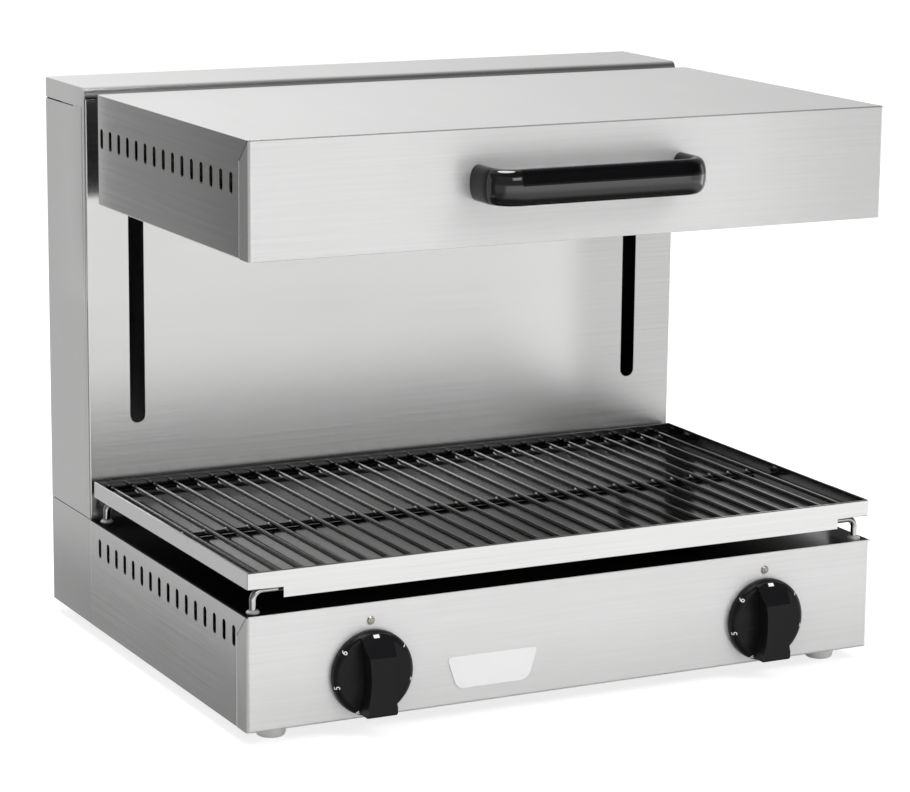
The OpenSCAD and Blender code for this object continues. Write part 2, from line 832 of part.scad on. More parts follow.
// Hollow arm through the guide slot, with its bolting plate against the hood's rear
module arm(side) {
    x0 = slot_x - arm_w / 2;
    carriage_face = guide_d + carriage_d / 2;
    color("silver") placed() on_side(side) difference() {
        union() {
            slab(x0, x0 + arm_w, carriage_face, hood_back, arm_z, arm_z + arm_h);
            slab(slot_x - arm_plate_w / 2, slot_x + arm_plate_w / 2, hood_back - arm_plate_t,
                hood_back, arm_plate_z, arm_plate_z + arm_plate_h);
        }
        slab(x0 + arm_wall, x0 + arm_w - arm_wall, carriage_face + arm_wall, hood_back + cut,
            arm_z + arm_wall, arm_z + arm_h - arm_wall);
        slab(x0 - cut, x0 + arm_w / 2, carriage_face + arm_window_gap,
            carriage_face + arm_window_gap + arm_window, arm_z + arm_window_z,
            arm_z + arm_h - arm_window_z);
        for (i = [-1, 1], j = [-1, 1]) bar_d(slot_x + i * arm_bolt_x,
            arm_plate_z + arm_plate_h / 2 + j * arm_bolt_z, arm_bolt_r + fit_gap,
            hood_back - arm_plate_t - cut, hood_back + cut);
    }
}

module arm_bolts() {
    head = hood_back - arm_plate_t;
    color("silver") placed() both_sides() for (i = [-1, 1], j = [-1, 1])
        translate([slot_x + i * arm_bolt_x, 0, arm_plate_z + arm_plate_h / 2 + j * arm_bolt_z]) {
            bar_d(0, 0, arm_bolt_r, head, hood_back + sheet + 6);
            translate([0, -head + 3, 0]) rotate([90, 0, 0]) cylinder(r = 4.5, h = 3, $fn = 6);
            translate([0, -hood_back - sheet, 0]) rotate([90, 0, 0])
                cylinder(r = 4.5, h = 4, $fn = 6);
        }
}

// Block that slides on the guide rod, with a lug for the cable
module carriage(side) {
    color("slategray") placed() on_side(side) difference() {
        union() {
            slab(slot_x - carriage_w / 2, slot_x + carriage_w / 2, guide_d - carriage_d / 2,
                guide_d + carriage_d / 2, carriage_z, carriage_z + carriage_h);
            slab(slot_x - carriage_w / 2 - lug_reach, slot_x - carriage_w / 2, guide_d - 6,
                guide_d + 6, lug_z, lug_z + lug_h);
        }
        bar_z(slot_x, guide_d, guide_r + bush_wall + fit_gap, carriage_z - cut,
            carriage_z + carriage_h + cut);
    }
}

module carriage_bushes() {
    color("peru") placed() both_sides()
        for (z = [carriage_z, carriage_z + carriage_h - bush_l]) difference() {
            bar_z(slot_x, guide_d, guide_r + bush_wall, z, z + bush_l);
            bar_z(slot_x, guide_d, guide_r + fit_gap, z - cut, z + bush_l + cut);
        }
}

module guide_rods() {
    color("lightgray") placed() both_sides() bar_z(slot_x, guide_d, guide_r, sheet,
        beam_z + beam_t + 1);
}

module weight_rods() {
    color("lightgray") placed() both_sides() bar_z(weight_rod_x, guide_d, weight_rod_r, sheet,
        beam_z + beam_t + 1);
}

// Collars that hold the four rods' lower ends on the base's bottom
module rod_sockets() {
    color("dimgray") placed() both_sides() {
        rod_socket(slot_x, guide_r, socket_h + 6);
        rod_socket(weight_rod_x, weight_rod_r, socket_h);
    }
}

module rod_socket(x, r, h) {
    difference() {
        translate([x, -guide_d, sheet]) rotate_extrude() polygon([[0, 0], [r + socket_r + 4, 0],
            [r + socket_r + 4, 2], [r + socket_r, 2], [r + socket_r - 1, h], [0, h]]);
        bar_z(x, guide_d, r + fit_gap, sheet - cut, sheet + h + cut);
    }
}

// Cross bar under the cap that holds the rods' upper ends and the pulleys
module top_beam() {
    color("slategray") placed() difference() {
        union() {
            slab(-inner_w, inner_w, guide_d - beam_d / 2, guide_d + beam_d / 2, beam_z,
                beam_z + beam_t);
            both_sides() slab(inner_w - beam_end, inner_w, guide_d - beam_d / 2,
                guide_d + beam_d / 2, beam_z - beam_ear, beam_z);
        }
        both_sides() {
            bar_z(slot_x, guide_d, guide_r + fit_gap, beam_z - cut, beam_z + beam_t + cut);
            bar_z(weight_rod_x, guide_d, weight_rod_r + fit_gap, beam_z - cut,
                beam_z + beam_t + cut);
        }
    }
}

module pulley_brackets() {
    inner = pulley_w / 2 + clevis_gap;
    color("slategray") placed() both_sides() for (end = [-1, 1]) {
        d0 = end > 0 ? guide_d + inner : guide_d - inner - clevis_t;
        difference() {
            union() {
                slab(pulley_x - clevis_w / 2, pulley_x + clevis_w / 2, d0, d0 + clevis_t,
                    pulley_z, beam_z);
                bar_d(pulley_x, pulley_z, clevis_w / 2, d0, d0 + clevis_t);
            }
            bar_d(pulley_x, pulley_z, pin_r + fit_gap, d0 - cut, d0 + clevis_t + cut);
        }
    }
}

module pulley_pins() {
    reach = pulley_w / 2 + clevis_gap + clevis_t;
    color("silver") placed() both_sides() {
        bar_d(pulley_x, pulley_z, pin_r, guide_d - reach - 2, guide_d + reach);
        bar_d(pulley_x, pulley_z, pin_r + 2.5, guide_d + reach, guide_d + reach + 2.5);
    }
}

// Grooved wheel that turns on its pin
module pulley(side) {
    groove = pulley_r - cable_r - rest_gap;
    color("peru") placed() on_side(side) translate([pulley_x, -guide_d, pulley_z])
        rotate([90, 0, 0]) rotate_extrude() polygon([[pin_r + fit_gap, -pulley_w / 2],
            [pulley_flange_r, -pulley_w / 2], [pulley_flange_r, -pulley_w / 2 + 1.5],
            [groove, -cable_r - rest_gap], [groove, cable_r + rest_gap],
            [pulley_flange_r, pulley_w / 2 - 1.5], [pulley_flange_r, pulley_w / 2],
            [pin_r + fit_gap, pulley_w / 2]]);
}

// Steel cable from the carriage's lug over the pulley to the counterweight's stud
module cable(side) {
    color("gray") placed() on_side(side) {
        bar_z(pulley_x + pulley_r, guide_d, cable_r, lug_z + lug_h, pulley_z);
        bar_z(pulley_x - pulley_r, guide_d, cable_r, weight_z + weight_h + stud_h, pulley_z);
        translate([pulley_x, -guide_d, pulley_z]) rotate([90, 0, 0])
            rotate_extrude(angle = 180) translate([pulley_r, 0]) circle(r = cable_r);
    }
}

module counterweight() {
    top = weight_z + weight_h;
    color("dimgray") placed() difference() {
        union() {
            slab(-weight_half, weight_half, guide_d - weight_d / 2, guide_d + weight_d / 2,
                weight_z, top);
            both_sides() bar_z(pulley_x - pulley_r, guide_d, stud_r, top, top + stud_h);
        }
        both_sides() bar_z(weight_rod_x, guide_d, weight_rod_r + fit_gap, weight_z - cut,
            top + cut);
    }
}

module weight_buffers() {
    color("black") placed() both_sides() bar_z(buffer_x, guide_d, buffer_r, sheet,
        weight_z - rest_gap);
}

// Moulded knob: hollow skirt, hub and waisted grip that slopes down to the pointer
module knob(side) {
    top = knob_skirt + grip_h;
    waist_r = 110;
    color("black") placed() translate([side * knob_x, -knob_back, knob_z]) rotate([90, 0, 0])
        difference() {
            union() {
                rotate_extrude() polygon([[0, knob_skirt - knob_wall],
                    [knob_r - knob_shoulder, knob_skirt - knob_wall],
                    [knob_r - knob_wall, knob_skirt - knob_shoulder], [knob_r - knob_wall, 0],
                    [knob_r, 0],
                    for (i = [0:knob_steps]) let (a = 90 * i / knob_steps)
                        [knob_r - knob_shoulder * (1 - cos(a)),
                        knob_skirt - knob_shoulder * (1 - sin(a))],
                    [0, knob_skirt - knob_face_dish]]);
                translate([0, 0, neck_out + 0.5])
                    cylinder(r = hub_r, h = knob_skirt - neck_out - 0.5 - knob_wall / 2);
                intersection() {
                    linear_extrude(top) difference() {
                        intersection() {
                            circle(r = grip_slope_end);
                            square([2 * grip_waist + 6, 2 * knob_r], center = true);
                        }
                        for (x = [-1, 1]) translate([x * (grip_waist + waist_r), 0])
                            circle(r = waist_r, $fn = 96);
                    }
                    rotate([90, 0, 90]) translate([0, 0, -knob_r]) linear_extrude(2 * knob_r)
                        polygon([[-knob_r, knob_skirt - knob_wall], [-knob_r, knob_skirt],
                            [-grip_tail - 2.5, top - 2], [-grip_tail - 0.5, top],
                            [grip_flat_top, top],
                            [grip_slope_end, knob_skirt - 0.2],
                            [grip_slope_end, knob_skirt - knob_wall]]);
                }
            }
            translate([0, 0, -cut]) cylinder(r = shaft_r + fit_gap, h = shaft_out + cut);
        }
}

// Spindle from inside the regulator into the knob's hub
module knob_shaft(side) {
    color("silver") placed() bar_d(side * knob_x, knob_z, shaft_r, base_depth - shaft_in,
        knob_back + shaft_out);
}

// Energy regulator behind the panel, with its neck through it and its terminals behind
module regulator(side) {
    back = base_depth - sheet - regulator_d;
    color("ivory") placed() translate([side * knob_x, 0, knob_z]) difference() {
        union() {
            slab(-regulator_w / 2, regulator_w / 2, back, base_depth - sheet,
                -regulator_h / 2 + 4, regulator_h / 2 - 4);
            slab(-regulator_w / 2 + 4, regulator_w / 2 - 4, back, base_depth - sheet,
                -regulator_h / 2 + 2, regulator_h / 2 - 2);
            bar_d(0, 0, neck_r, base_depth - sheet, base_depth + neck_out);
            for (i = [-2:2]) slab(i * 8 - 3, i * 8 + 3, back - 9, back, -0.4 + 5 * (i % 2),
                0.4 + 5 * (i % 2));
        }
        bar_d(0, 0, shaft_r + fit_gap, base_depth - shaft_in - 1, base_depth + neck_out + cut);
        for (z = [-1, 1]) bar_d(0, z * regulator_screw_z, regulator_screw_r + fit_gap,
            base_depth - sheet - 7, base_depth);
    }
}

module regulator_screws() {
    color("silver") placed() for (x = [-knob_x, knob_x], z = [-1, 1])
        translate([x, 0, knob_z + z * regulator_screw_z]) {
            bar_d(0, 0, regulator_screw_r, base_depth - sheet - 6, base_depth);
            bar_d(0, 0, 3.5, base_depth, base_depth + 2);
        }
}

module lamp_bezels() {
    color("gray") placed() for (x = [-knob_x, knob_x]) translate([x, -base_depth, lamp_z])
        rotate([90, 0, 0]) difference() {
            rotate_extrude() polygon([[0, 0], [lamp_r, 0], [lamp_r, 0.8], [lamp_r - 0.7, 1.8],
                [0, 1.8]]);
            translate([0, 0, -cut]) cylinder(r = lens_r + fit_gap, h = 2 * cut + 1.8);
        }
}

// Lens and lamp body in one turned piece that passes through the panel
module lamp_lenses() {
    color("peru") placed() for (x = [-knob_x, knob_x]) translate([x, -base_depth, lamp_z])
        rotate([90, 0, 0]) rotate_extrude() polygon([[0, -lamp_body_l],
            [lens_r + 1, -lamp_body_l], [lens_r + 1, -sheet], [lens_r, -sheet], [lens_r, 1.6],
            [lens_r * 0.6, 2.3], [0, 2.5]]);
}

// Plain bare plate
module badge_plate() {
    w = badge_w / 2 - badge_corner;
    h = badge_h / 2 - badge_corner;
    color("white") placed() translate([badge_x, 0, badge_z]) front_plate(base_depth, badge_t)
        hull() {
            for (x = [-1, 1]) {
                translate([x * (w + badge_corner - 2), h + badge_corner - 2]) circle(r = 2);
                translate([x * (w - badge_taper), -h]) circle(r = badge_corner);
            }
        }
}

module terminal_block() {
    w = terminal_count * terminal_pitch;
    half_d = terminal_w / 2;
    color("beige") placed() translate([terminal_x, -terminal_d, sheet]) difference() {
        union() {
            slab(-w / 2 - terminal_foot, w / 2 + terminal_foot, -half_d, half_d, 0, terminal_foot);
            slab(-w / 2, w / 2, -half_d + terminal_foot / 2, half_d - terminal_foot / 2,
                terminal_foot, terminal_h);
        }
        for (i = [0:terminal_count - 1]) translate([(i + 0.5) * terminal_pitch - w / 2, 0, 0]) {
            translate([0, 0, terminal_h / 2]) cylinder(r = terminal_pitch * 0.3, h = terminal_h);
            slab(-terminal_pitch / 4, terminal_pitch / 4, -half_d, -half_d * 0.4, terminal_h / 2,
                terminal_h * 0.85);
        }
    }
}

// Cable gland: dome nut outside, thread through the panel and lock nut inside
module cable_gland() {
    color("dimgray") placed() translate([gland_x, 0, gland_z]) rotate([-90, 0, 0])
        difference() {
            union() {
                cylinder(r = gland_nut_r + 1, h = 5, $fn = 6);
                rotate_extrude() polygon([[0, 4], [gland_nut_r - 0.5, 4], [gland_nut_r - 0.5, 9],
                    [8.5, gland_out], [0, gland_out]]);
                translate([0, 0, -gland_in]) cylinder(r = gland_thread_r, h = gland_in + cut);
                translate([0, 0, -sheet - 5]) cylinder(r = gland_nut_r + 1, h = 5, $fn = 6);
            }
            translate([0, 0, -gland_in - cut])
                cylinder(r = gland_bore_r, h = gland_in + gland_out + 2 * cut);
        }
}

base_bottom();
base_side(-1);  // base_side_left
base_side(1);  // base_side_right
control_panel();
base_top();
rear_panel();
panel_screws();
lower_side(-1);  // lower_side_left
lower_side(1);  // lower_side_right
column_side(-1);  // column_side_left
column_side(1);  // column_side_right
column_front();
column_cap();
feet();
foot_screws();
tray_rod(rod_front_d);  // tray_rod_front
tray_rod(rod_rear_d);  // tray_rod_rear
rod_collars();
drip_tray();
wire_grid();
hood_shell();
hood_front();
reflector();
insulation();
element(-1);  // element_left
element(1);  // element_right
element_bushings();
element_supports();
handle();
handle_screws();
arm(-1);  // arm_left
arm(1);  // arm_right
arm_bolts();
carriage(-1);  // carriage_left
carriage(1);  // carriage_right
carriage_bushes();
guide_rods();
rod_sockets();
top_beam();
pulley_brackets();
pulley_pins();
pulley(-1);  // pulley_left
pulley(1);  // pulley_right
cable(-1);  // cable_left
cable(1);  // cable_right
counterweight();
weight_rods();
weight_buffers();
knob(-1);  // knob_left
knob(1);  // knob_right
knob_shaft(-1);  // knob_shaft_left
knob_shaft(1);  // knob_shaft_right
regulator(-1);  // regulator_left
regulator(1);  // regulator_right
regulator_screws();
lamp_bezels();
lamp_lenses();
badge_plate();
terminal_block();
cable_gland();
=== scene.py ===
import json
import math
import bpy
import bmesh
import numpy as np
from mathutils import Matrix, Vector


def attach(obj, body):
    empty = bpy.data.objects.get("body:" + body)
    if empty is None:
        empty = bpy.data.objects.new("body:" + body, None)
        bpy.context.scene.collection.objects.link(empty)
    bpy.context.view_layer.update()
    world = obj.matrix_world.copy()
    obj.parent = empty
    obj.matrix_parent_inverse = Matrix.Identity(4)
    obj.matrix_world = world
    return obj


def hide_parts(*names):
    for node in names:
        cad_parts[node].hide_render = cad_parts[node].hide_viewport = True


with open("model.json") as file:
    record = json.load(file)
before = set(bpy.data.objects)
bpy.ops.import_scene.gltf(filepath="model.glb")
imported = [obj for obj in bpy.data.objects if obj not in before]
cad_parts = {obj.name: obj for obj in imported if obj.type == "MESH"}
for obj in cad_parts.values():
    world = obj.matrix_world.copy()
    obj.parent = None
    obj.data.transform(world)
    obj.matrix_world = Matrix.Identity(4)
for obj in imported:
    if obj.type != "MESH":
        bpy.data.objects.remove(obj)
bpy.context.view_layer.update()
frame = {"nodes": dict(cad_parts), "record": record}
nodes = frame["nodes"]
mm = 0.001
print("frame loaded:", len(nodes), "nodes")


# the camera, in metres and radians
camera = {
    "place": (-1.29257, -2.53052, 0.82751),
    "turn": 0.470118,  # to the right of straight ahead
    "tilt": 0.208814,  # downwards
    "roll": 0.009616,
    "lens": 128.39,  # millimetres, as is the sensor's width
    "sensor": 36.0,
    "clip": (0.05, 100),
}


def makeCamera(c):
    # forward from turn and tilt, right level, then both rolled about forward
    turn, tilt, roll = c["turn"], c["tilt"], c["roll"]
    ahead = Vector((math.sin(turn) * math.cos(tilt), math.cos(turn) * math.cos(tilt), -math.sin(tilt)))
    right = Vector((math.cos(turn), -math.sin(turn), 0))
    up = right.cross(ahead)
    x = right * math.cos(roll) + up * math.sin(roll)
    y = up * math.cos(roll) - right * math.sin(roll)
    data = bpy.data.cameras.new("camera")
    data.lens = c["lens"]
    data.sensor_width = c["sensor"]
    data.sensor_fit = "HORIZONTAL"
    data.clip_start, data.clip_end = c["clip"]
    cam = bpy.data.objects.new("camera", data)
    bpy.context.collection.objects.link(cam)
    turned = Matrix((x, y, -ahead)).transposed().to_4x4()
    cam.matrix_world = Matrix.Translation(c["place"]) @ turned
    bpy.context.scene.camera = cam


makeCamera(camera)


# light, and the floor that the machine stands on
studio = {
    "ambient": 0.66,  # level of the world on matt surfaces
    "floorSize": 12.0,
    "floorColour": (0.86, 0.86, 0.86),
    "floorSeen": 0.50,  # part of the matt floor that the camera meets, over an even lift
    "floorLift": 0.75,
}
# what reflections meet, by their direction: levels, and edges where one level passes into the next, in sines
reflected = {
    # behind the machine: a pale backdrop, and how much of it stays to the right, left, far left and overhead
    "backdrop": 0.95, "right": 0.55, "rightEdge": (0.25, 0.68), "side": 0.56, "sideEdge": (0.0, -0.3),
    "far": 0.10, "farEdge": (-0.55, -0.8), "overhead": 0.35, "overheadEdge": (0.62, 0.92),
    # a bright upright rim far to the right
    "rim": 2.2, "rimHeight": (-0.35, -0.25, 0.15, 0.3), "rimWidth": (0.80, 0.86, 0.97, 1.05),
    # in front: a bright table, less so low down, to the left and to the right
    "table": 1.31, "tableLow": 0.70, "tableEdge": (-0.12, -0.40), "tableLeft": 0.35,
    "tableRight": 0.60, "tableRightEdge": (0.46, 0.64), "tableRightTop": (-0.24, -0.17),
    # above the table a dark room, darker to the right and no brighter than its roof higher up, where open is a
    # level above any other, and one strip light
    "room": 0.22, "roomEdge": (-0.07, 0.03), "roomRight": 0.25, "roomTurn": (0.44, 0.56),
    "roof": 0.08, "roofEdge": (0.25, 0.6), "open": 9.0,
    "strip": 2.4, "stripHeight": (0.26, 0.33, 0.46, 0.53), "stripWidth": (-0.35, -0.2, 0.2, 0.32),
    # straight down, and where front passes into behind
    "under": 0.16, "underEdge": (-0.45, -0.75), "turn": (-0.25, 0.1),
}
lamps = {
    "key": {"place": (1.5, -2.3, 2.3), "aim": (0.0, 0.0, 0.2), "size": 1.8, "power": 40, "gloss": False},
    "top": {"place": (-0.35, 0.0, 2.6), "aim": (0.0, 0.0, 0.3), "size": 1.5, "power": 45, "gloss": True},
}
# cards that only reflections meet: two opposite corners, and levels at the ends of the fade along an axis;
# a foot is two heights between which the card passes into a third value, the level behind it; thin is the
# stretch along an axis where its light runs out; a clear card adds its light to what lies behind it
cards = {
    "lowRight": {"from": (0.33, 0.42, 0.0), "to": (2.4, 0.42, 0.47),
                 "fade": (2, 0.0, 1.0), "levels": (0.0, 0.0)},
    "besideRight": {"from": (0.33, -0.1, 0.135), "to": (0.33, 0.14, 0.42),
                    "fade": (2, 0.13, 0.4), "levels": (0.72, 0.72)},
    "besideRim": {"from": (0.331, -0.1, -0.1), "to": (0.331, 0.14, 0.135),
                  "fade": (2, 0.0, 1.0), "levels": (0.12, 0.12)},
    "baseLeft": {"from": (-0.45, -0.25, -0.5), "to": (-0.45, 0.75, -0.024),
                 "fade": (1, -0.25, 0.75), "levels": (0.20, 0.28)},
    "hoodLeft": {"from": (-0.34, -0.26, 0.30), "to": (-0.34, 0.228, 0.60),
                 "fade": (1, -0.26, 0.228), "levels": (0.13, 0.25), "foot": (0.30, 0.38, 0.5)},
    "overGrid": {"from": (-0.29, 0.12, 0.12), "to": (0.26, 0.12, 0.31),
                 "fade": (2, 0.17, 0.30), "levels": (0.21, 0.0), "thin": (0, 0.10, 0.26), "clear": True},
}


def nodeIn(tree, kind, links=None, **settings):
    # a shader node, its settings, and its inputs from values or other sockets
    n = tree.nodes.new(kind)
    for key, value in settings.items():
        setattr(n, key, value)
    for key, value in (links or {}).items():
        if isinstance(value, bpy.types.NodeSocket):
            tree.links.new(value, n.inputs[key])
        else:
            n.inputs[key].default_value = value
    return n


def mathNode(tree, operation, a, b=0.0, clamp=False):
    return nodeIn(tree, "ShaderNodeMath", {0: a, 1: b}, operation=operation, use_clamp=clamp).outputs[0]


def scaled(tree, colour, by):
    return nodeIn(tree, "ShaderNodeVectorMath", {0: colour, "Scale": by}, operation="SCALE").outputs[0]


def seenDirectly(tree):
    # one for rays from the camera, through glass and off gloss
    path = nodeIn(tree, "ShaderNodeLightPath")
    both = mathNode(tree, "MAXIMUM", path.outputs["Is Camera Ray"], path.outputs["Is Transmission Ray"])
    return path, mathNode(tree, "MAXIMUM", both, path.outputs["Is Glossy Ray"])


def ramp(tree, value, edge, low, high):
    # a smooth pass from one level to another as the value crosses the edge
    return nodeIn(tree, "ShaderNodeMapRange", {0: value, 1: edge[0], 2: edge[1], 3: low, 4: high},
                  interpolation_type="SMOOTHSTEP").outputs[0]


def mixed(tree, factor, a, b):
    return nodeIn(tree, "ShaderNodeMix", {0: factor, 2: a, 3: b}).outputs[0]


def band(tree, value, edges):
    # one between the middle two edges and nothing outside the outer two
    rise, fall = ramp(tree, value, edges[:2], 0.0, 1.0), ramp(tree, value, edges[2:], 1.0, 0.0)
    return mathNode(tree, "MULTIPLY", rise, fall)


def makeWorld(s, q):
    # levels multiply across and upwards on each half, and the halves meet at the turn
    world = bpy.data.worlds.new("studio")
    bpy.context.scene.world = world
    world.use_nodes = True
    tree = world.node_tree
    tree.nodes.clear()
    path, direct = seenDirectly(tree)
    way = nodeIn(tree, "ShaderNodeTexCoord").outputs["Generated"]
    x, y, z = nodeIn(tree, "ShaderNodeSeparateXYZ", {0: way}).outputs[:3]
    across = mathNode(tree, "MULTIPLY", ramp(tree, x, q["sideEdge"], 1.0, q["side"]),
                      ramp(tree, x, q["farEdge"], 1.0, q["far"] / q["side"]))
    across = mathNode(tree, "MULTIPLY", across, ramp(tree, x, q["rightEdge"], 1.0, q["right"]))
    upwards = ramp(tree, z, q["overheadEdge"], q["backdrop"], q["overhead"])
    behind = mathNode(tree, "MULTIPLY", across, upwards)
    rim = mathNode(tree, "MULTIPLY", band(tree, x, q["rimWidth"]), band(tree, z, q["rimHeight"]))
    behind = mathNode(tree, "ADD", behind, mathNode(tree, "MULTIPLY", rim, q["rim"]))
    table = mathNode(tree, "MULTIPLY", ramp(tree, x, q["farEdge"], 1.0, q["tableLeft"]),
                     ramp(tree, z, q["tableEdge"], q["table"], q["tableLow"]))
    darker = mathNode(tree, "MULTIPLY", ramp(tree, x, q["tableRightEdge"], 0.0, 1.0 - q["tableRight"]),
                      ramp(tree, z, q["tableRightTop"], 0.0, 1.0))
    table = mathNode(tree, "MULTIPLY", table, mathNode(tree, "SUBTRACT", 1.0, darker))
    wall = ramp(tree, x, q["roomTurn"], q["room"], q["room"] * q["roomRight"])
    room = mixed(tree, ramp(tree, z, q["roomEdge"], 0.0, 1.0), table, wall)
    room = mathNode(tree, "MINIMUM", room, ramp(tree, z, q["roofEdge"], q["open"], q["roof"]))
    strip = mathNode(tree, "MULTIPLY", band(tree, x, q["stripWidth"]), band(tree, z, q["stripHeight"]))
    ahead = mathNode(tree, "ADD", room, mathNode(tree, "MULTIPLY", strip, q["strip"]))
    gloss = mixed(tree, ramp(tree, y, q["turn"], 0.0, 1.0), ahead, behind)
    gloss = mathNode(tree, "MULTIPLY", gloss, ramp(tree, z, q["underEdge"], 1.0, q["under"]))
    level = mixed(tree, path.outputs["Is Glossy Ray"], 1.0, gloss)
    strength = mixed(tree, direct, s["ambient"], level)
    sky = nodeIn(tree, "ShaderNodeBackground", {"Color": (1, 1, 1, 1), "Strength": strength})
    out = nodeIn(tree, "ShaderNodeOutputWorld")
    tree.links.new(sky.outputs[0], out.inputs["Surface"])


def makeLamps(table):
    for name, p in table.items():
        data = bpy.data.lights.new(name, "AREA")
        data.shape = "DISK"
        data.size = p["size"]
        data.energy = p["power"]
        lamp = bpy.data.objects.new(name, data)
        bpy.context.collection.objects.link(lamp)
        lamp.location = p["place"]
        lamp.visible_glossy = p["gloss"]
        lamp.rotation_mode = "QUATERNION"
        lamp.rotation_quaternion = (Vector(p["aim"]) - Vector(p["place"])).to_track_quat("-Z", "Y")


def makeFloor(s):
    side = s["floorSize"]
    mesh = bpy.data.meshes.new("floor")
    corners = [(-side, -side, 0), (side, -side, 0), (side, side, 0), (-side, side, 0)]
    mesh.from_pydata(corners, [], [(0, 1, 2, 3)])
    floor = bpy.data.objects.new("floor", mesh)
    bpy.context.collection.objects.link(floor)
    material = bpy.data.materials.new("paleFloor")
    material.use_nodes = True
    tree = material.node_tree
    tree.nodes.clear()
    direct = seenDirectly(tree)[1]
    share = mixed(tree, direct, 1.0, s["floorSeen"])
    colour = scaled(tree, s["floorColour"], share)
    matt = nodeIn(tree, "ShaderNodeBsdfDiffuse", {"Color": colour})
    lift = mathNode(tree, "MULTIPLY", direct, s["floorLift"])
    glow = nodeIn(tree, "ShaderNodeEmission", {"Color": (1, 1, 1, 1), "Strength": lift})
    both = nodeIn(tree, "ShaderNodeAddShader", {0: matt.outputs[0], 1: glow.outputs[0]})
    out = nodeIn(tree, "ShaderNodeOutputMaterial")
    tree.links.new(both.outputs[0], out.inputs["Surface"])
    mesh.materials.append(material)
    floor.visible_glossy = False


def makeCard(name, p):
    # an upright card between two opposite corners, met by reflected rays only
    x0, y0, z0 = p["from"]
    x1, y1, z1 = p["to"]
    mesh = bpy.data.meshes.new(name)
    mesh.from_pydata([(x0, y0, z0), (x1, y1, z0), (x1, y1, z1), (x0, y0, z1)], [], [(0, 1, 2, 3)])
    card = bpy.data.objects.new(name, mesh)
    bpy.context.collection.objects.link(card)
    material = bpy.data.materials.new(name)
    material.use_nodes = True
    tree = material.node_tree
    tree.nodes.clear()
    where = nodeIn(tree, "ShaderNodeTexCoord").outputs["Object"]
    along = nodeIn(tree, "ShaderNodeSeparateXYZ", {0: where}).outputs
    axis, start, end = p["fade"]
    level = ramp(tree, along[axis], (start, end), *p["levels"])
    if "foot" in p:
        low, high, behind = p["foot"]
        level = mixed(tree, ramp(tree, along[2], (low, high), 1.0, 0.0), level, behind)
    if "thin" in p:
        axis, start, end = p["thin"]
        level = mathNode(tree, "MULTIPLY", level, ramp(tree, along[axis], (start, end), 1.0, 0.0))
    glow = nodeIn(tree, "ShaderNodeEmission", {"Color": (1, 1, 1, 1), "Strength": level})
    if "clear" in p:
        clear = nodeIn(tree, "ShaderNodeBsdfTransparent")
        glow = nodeIn(tree, "ShaderNodeAddShader", {0: clear.outputs[0], 1: glow.outputs[0]})
    out = nodeIn(tree, "ShaderNodeOutputMaterial")
    tree.links.new(glow.outputs[0], out.inputs["Surface"])
    mesh.materials.append(material)
    card.visible_camera = card.visible_diffuse = card.visible_shadow = card.visible_transmission = False


makeWorld(studio, reflected)
makeLamps(lamps)
makeFloor(studio)
for name, p in cards.items():
    makeCard(name, p)
bpy.context.scene.view_settings.view_transform = "Standard"
print("studio made")


# finishes: colour and its spread, metal, gloss, the grain's scale per metre along x, y and z, and the relief;
# spreadTo is the way across the brushing, and a region of a sheet has its own level of painted shade or
# painted highlight (shade), or of painted dimming of its grazing reflections (rim)
steelBase = {"colour": (0.800, 0.800, 0.795), "spread": 0.09, "metal": 1.0, "rough": 0.24,
             "roughSpread": 0.05, "relief": 0.05, "depth": 0.00002, "cloud": 7.0, "cloudSpread": 0.05}


def steel(grain, **changes):
    # sheet steel, with what differs from the base
    return {**steelBase, "grain": grain, **changes}


def plain(grain, **looks):
    # a finish with no metal in it
    return {"metal": 0.0, "grain": grain, **looks}
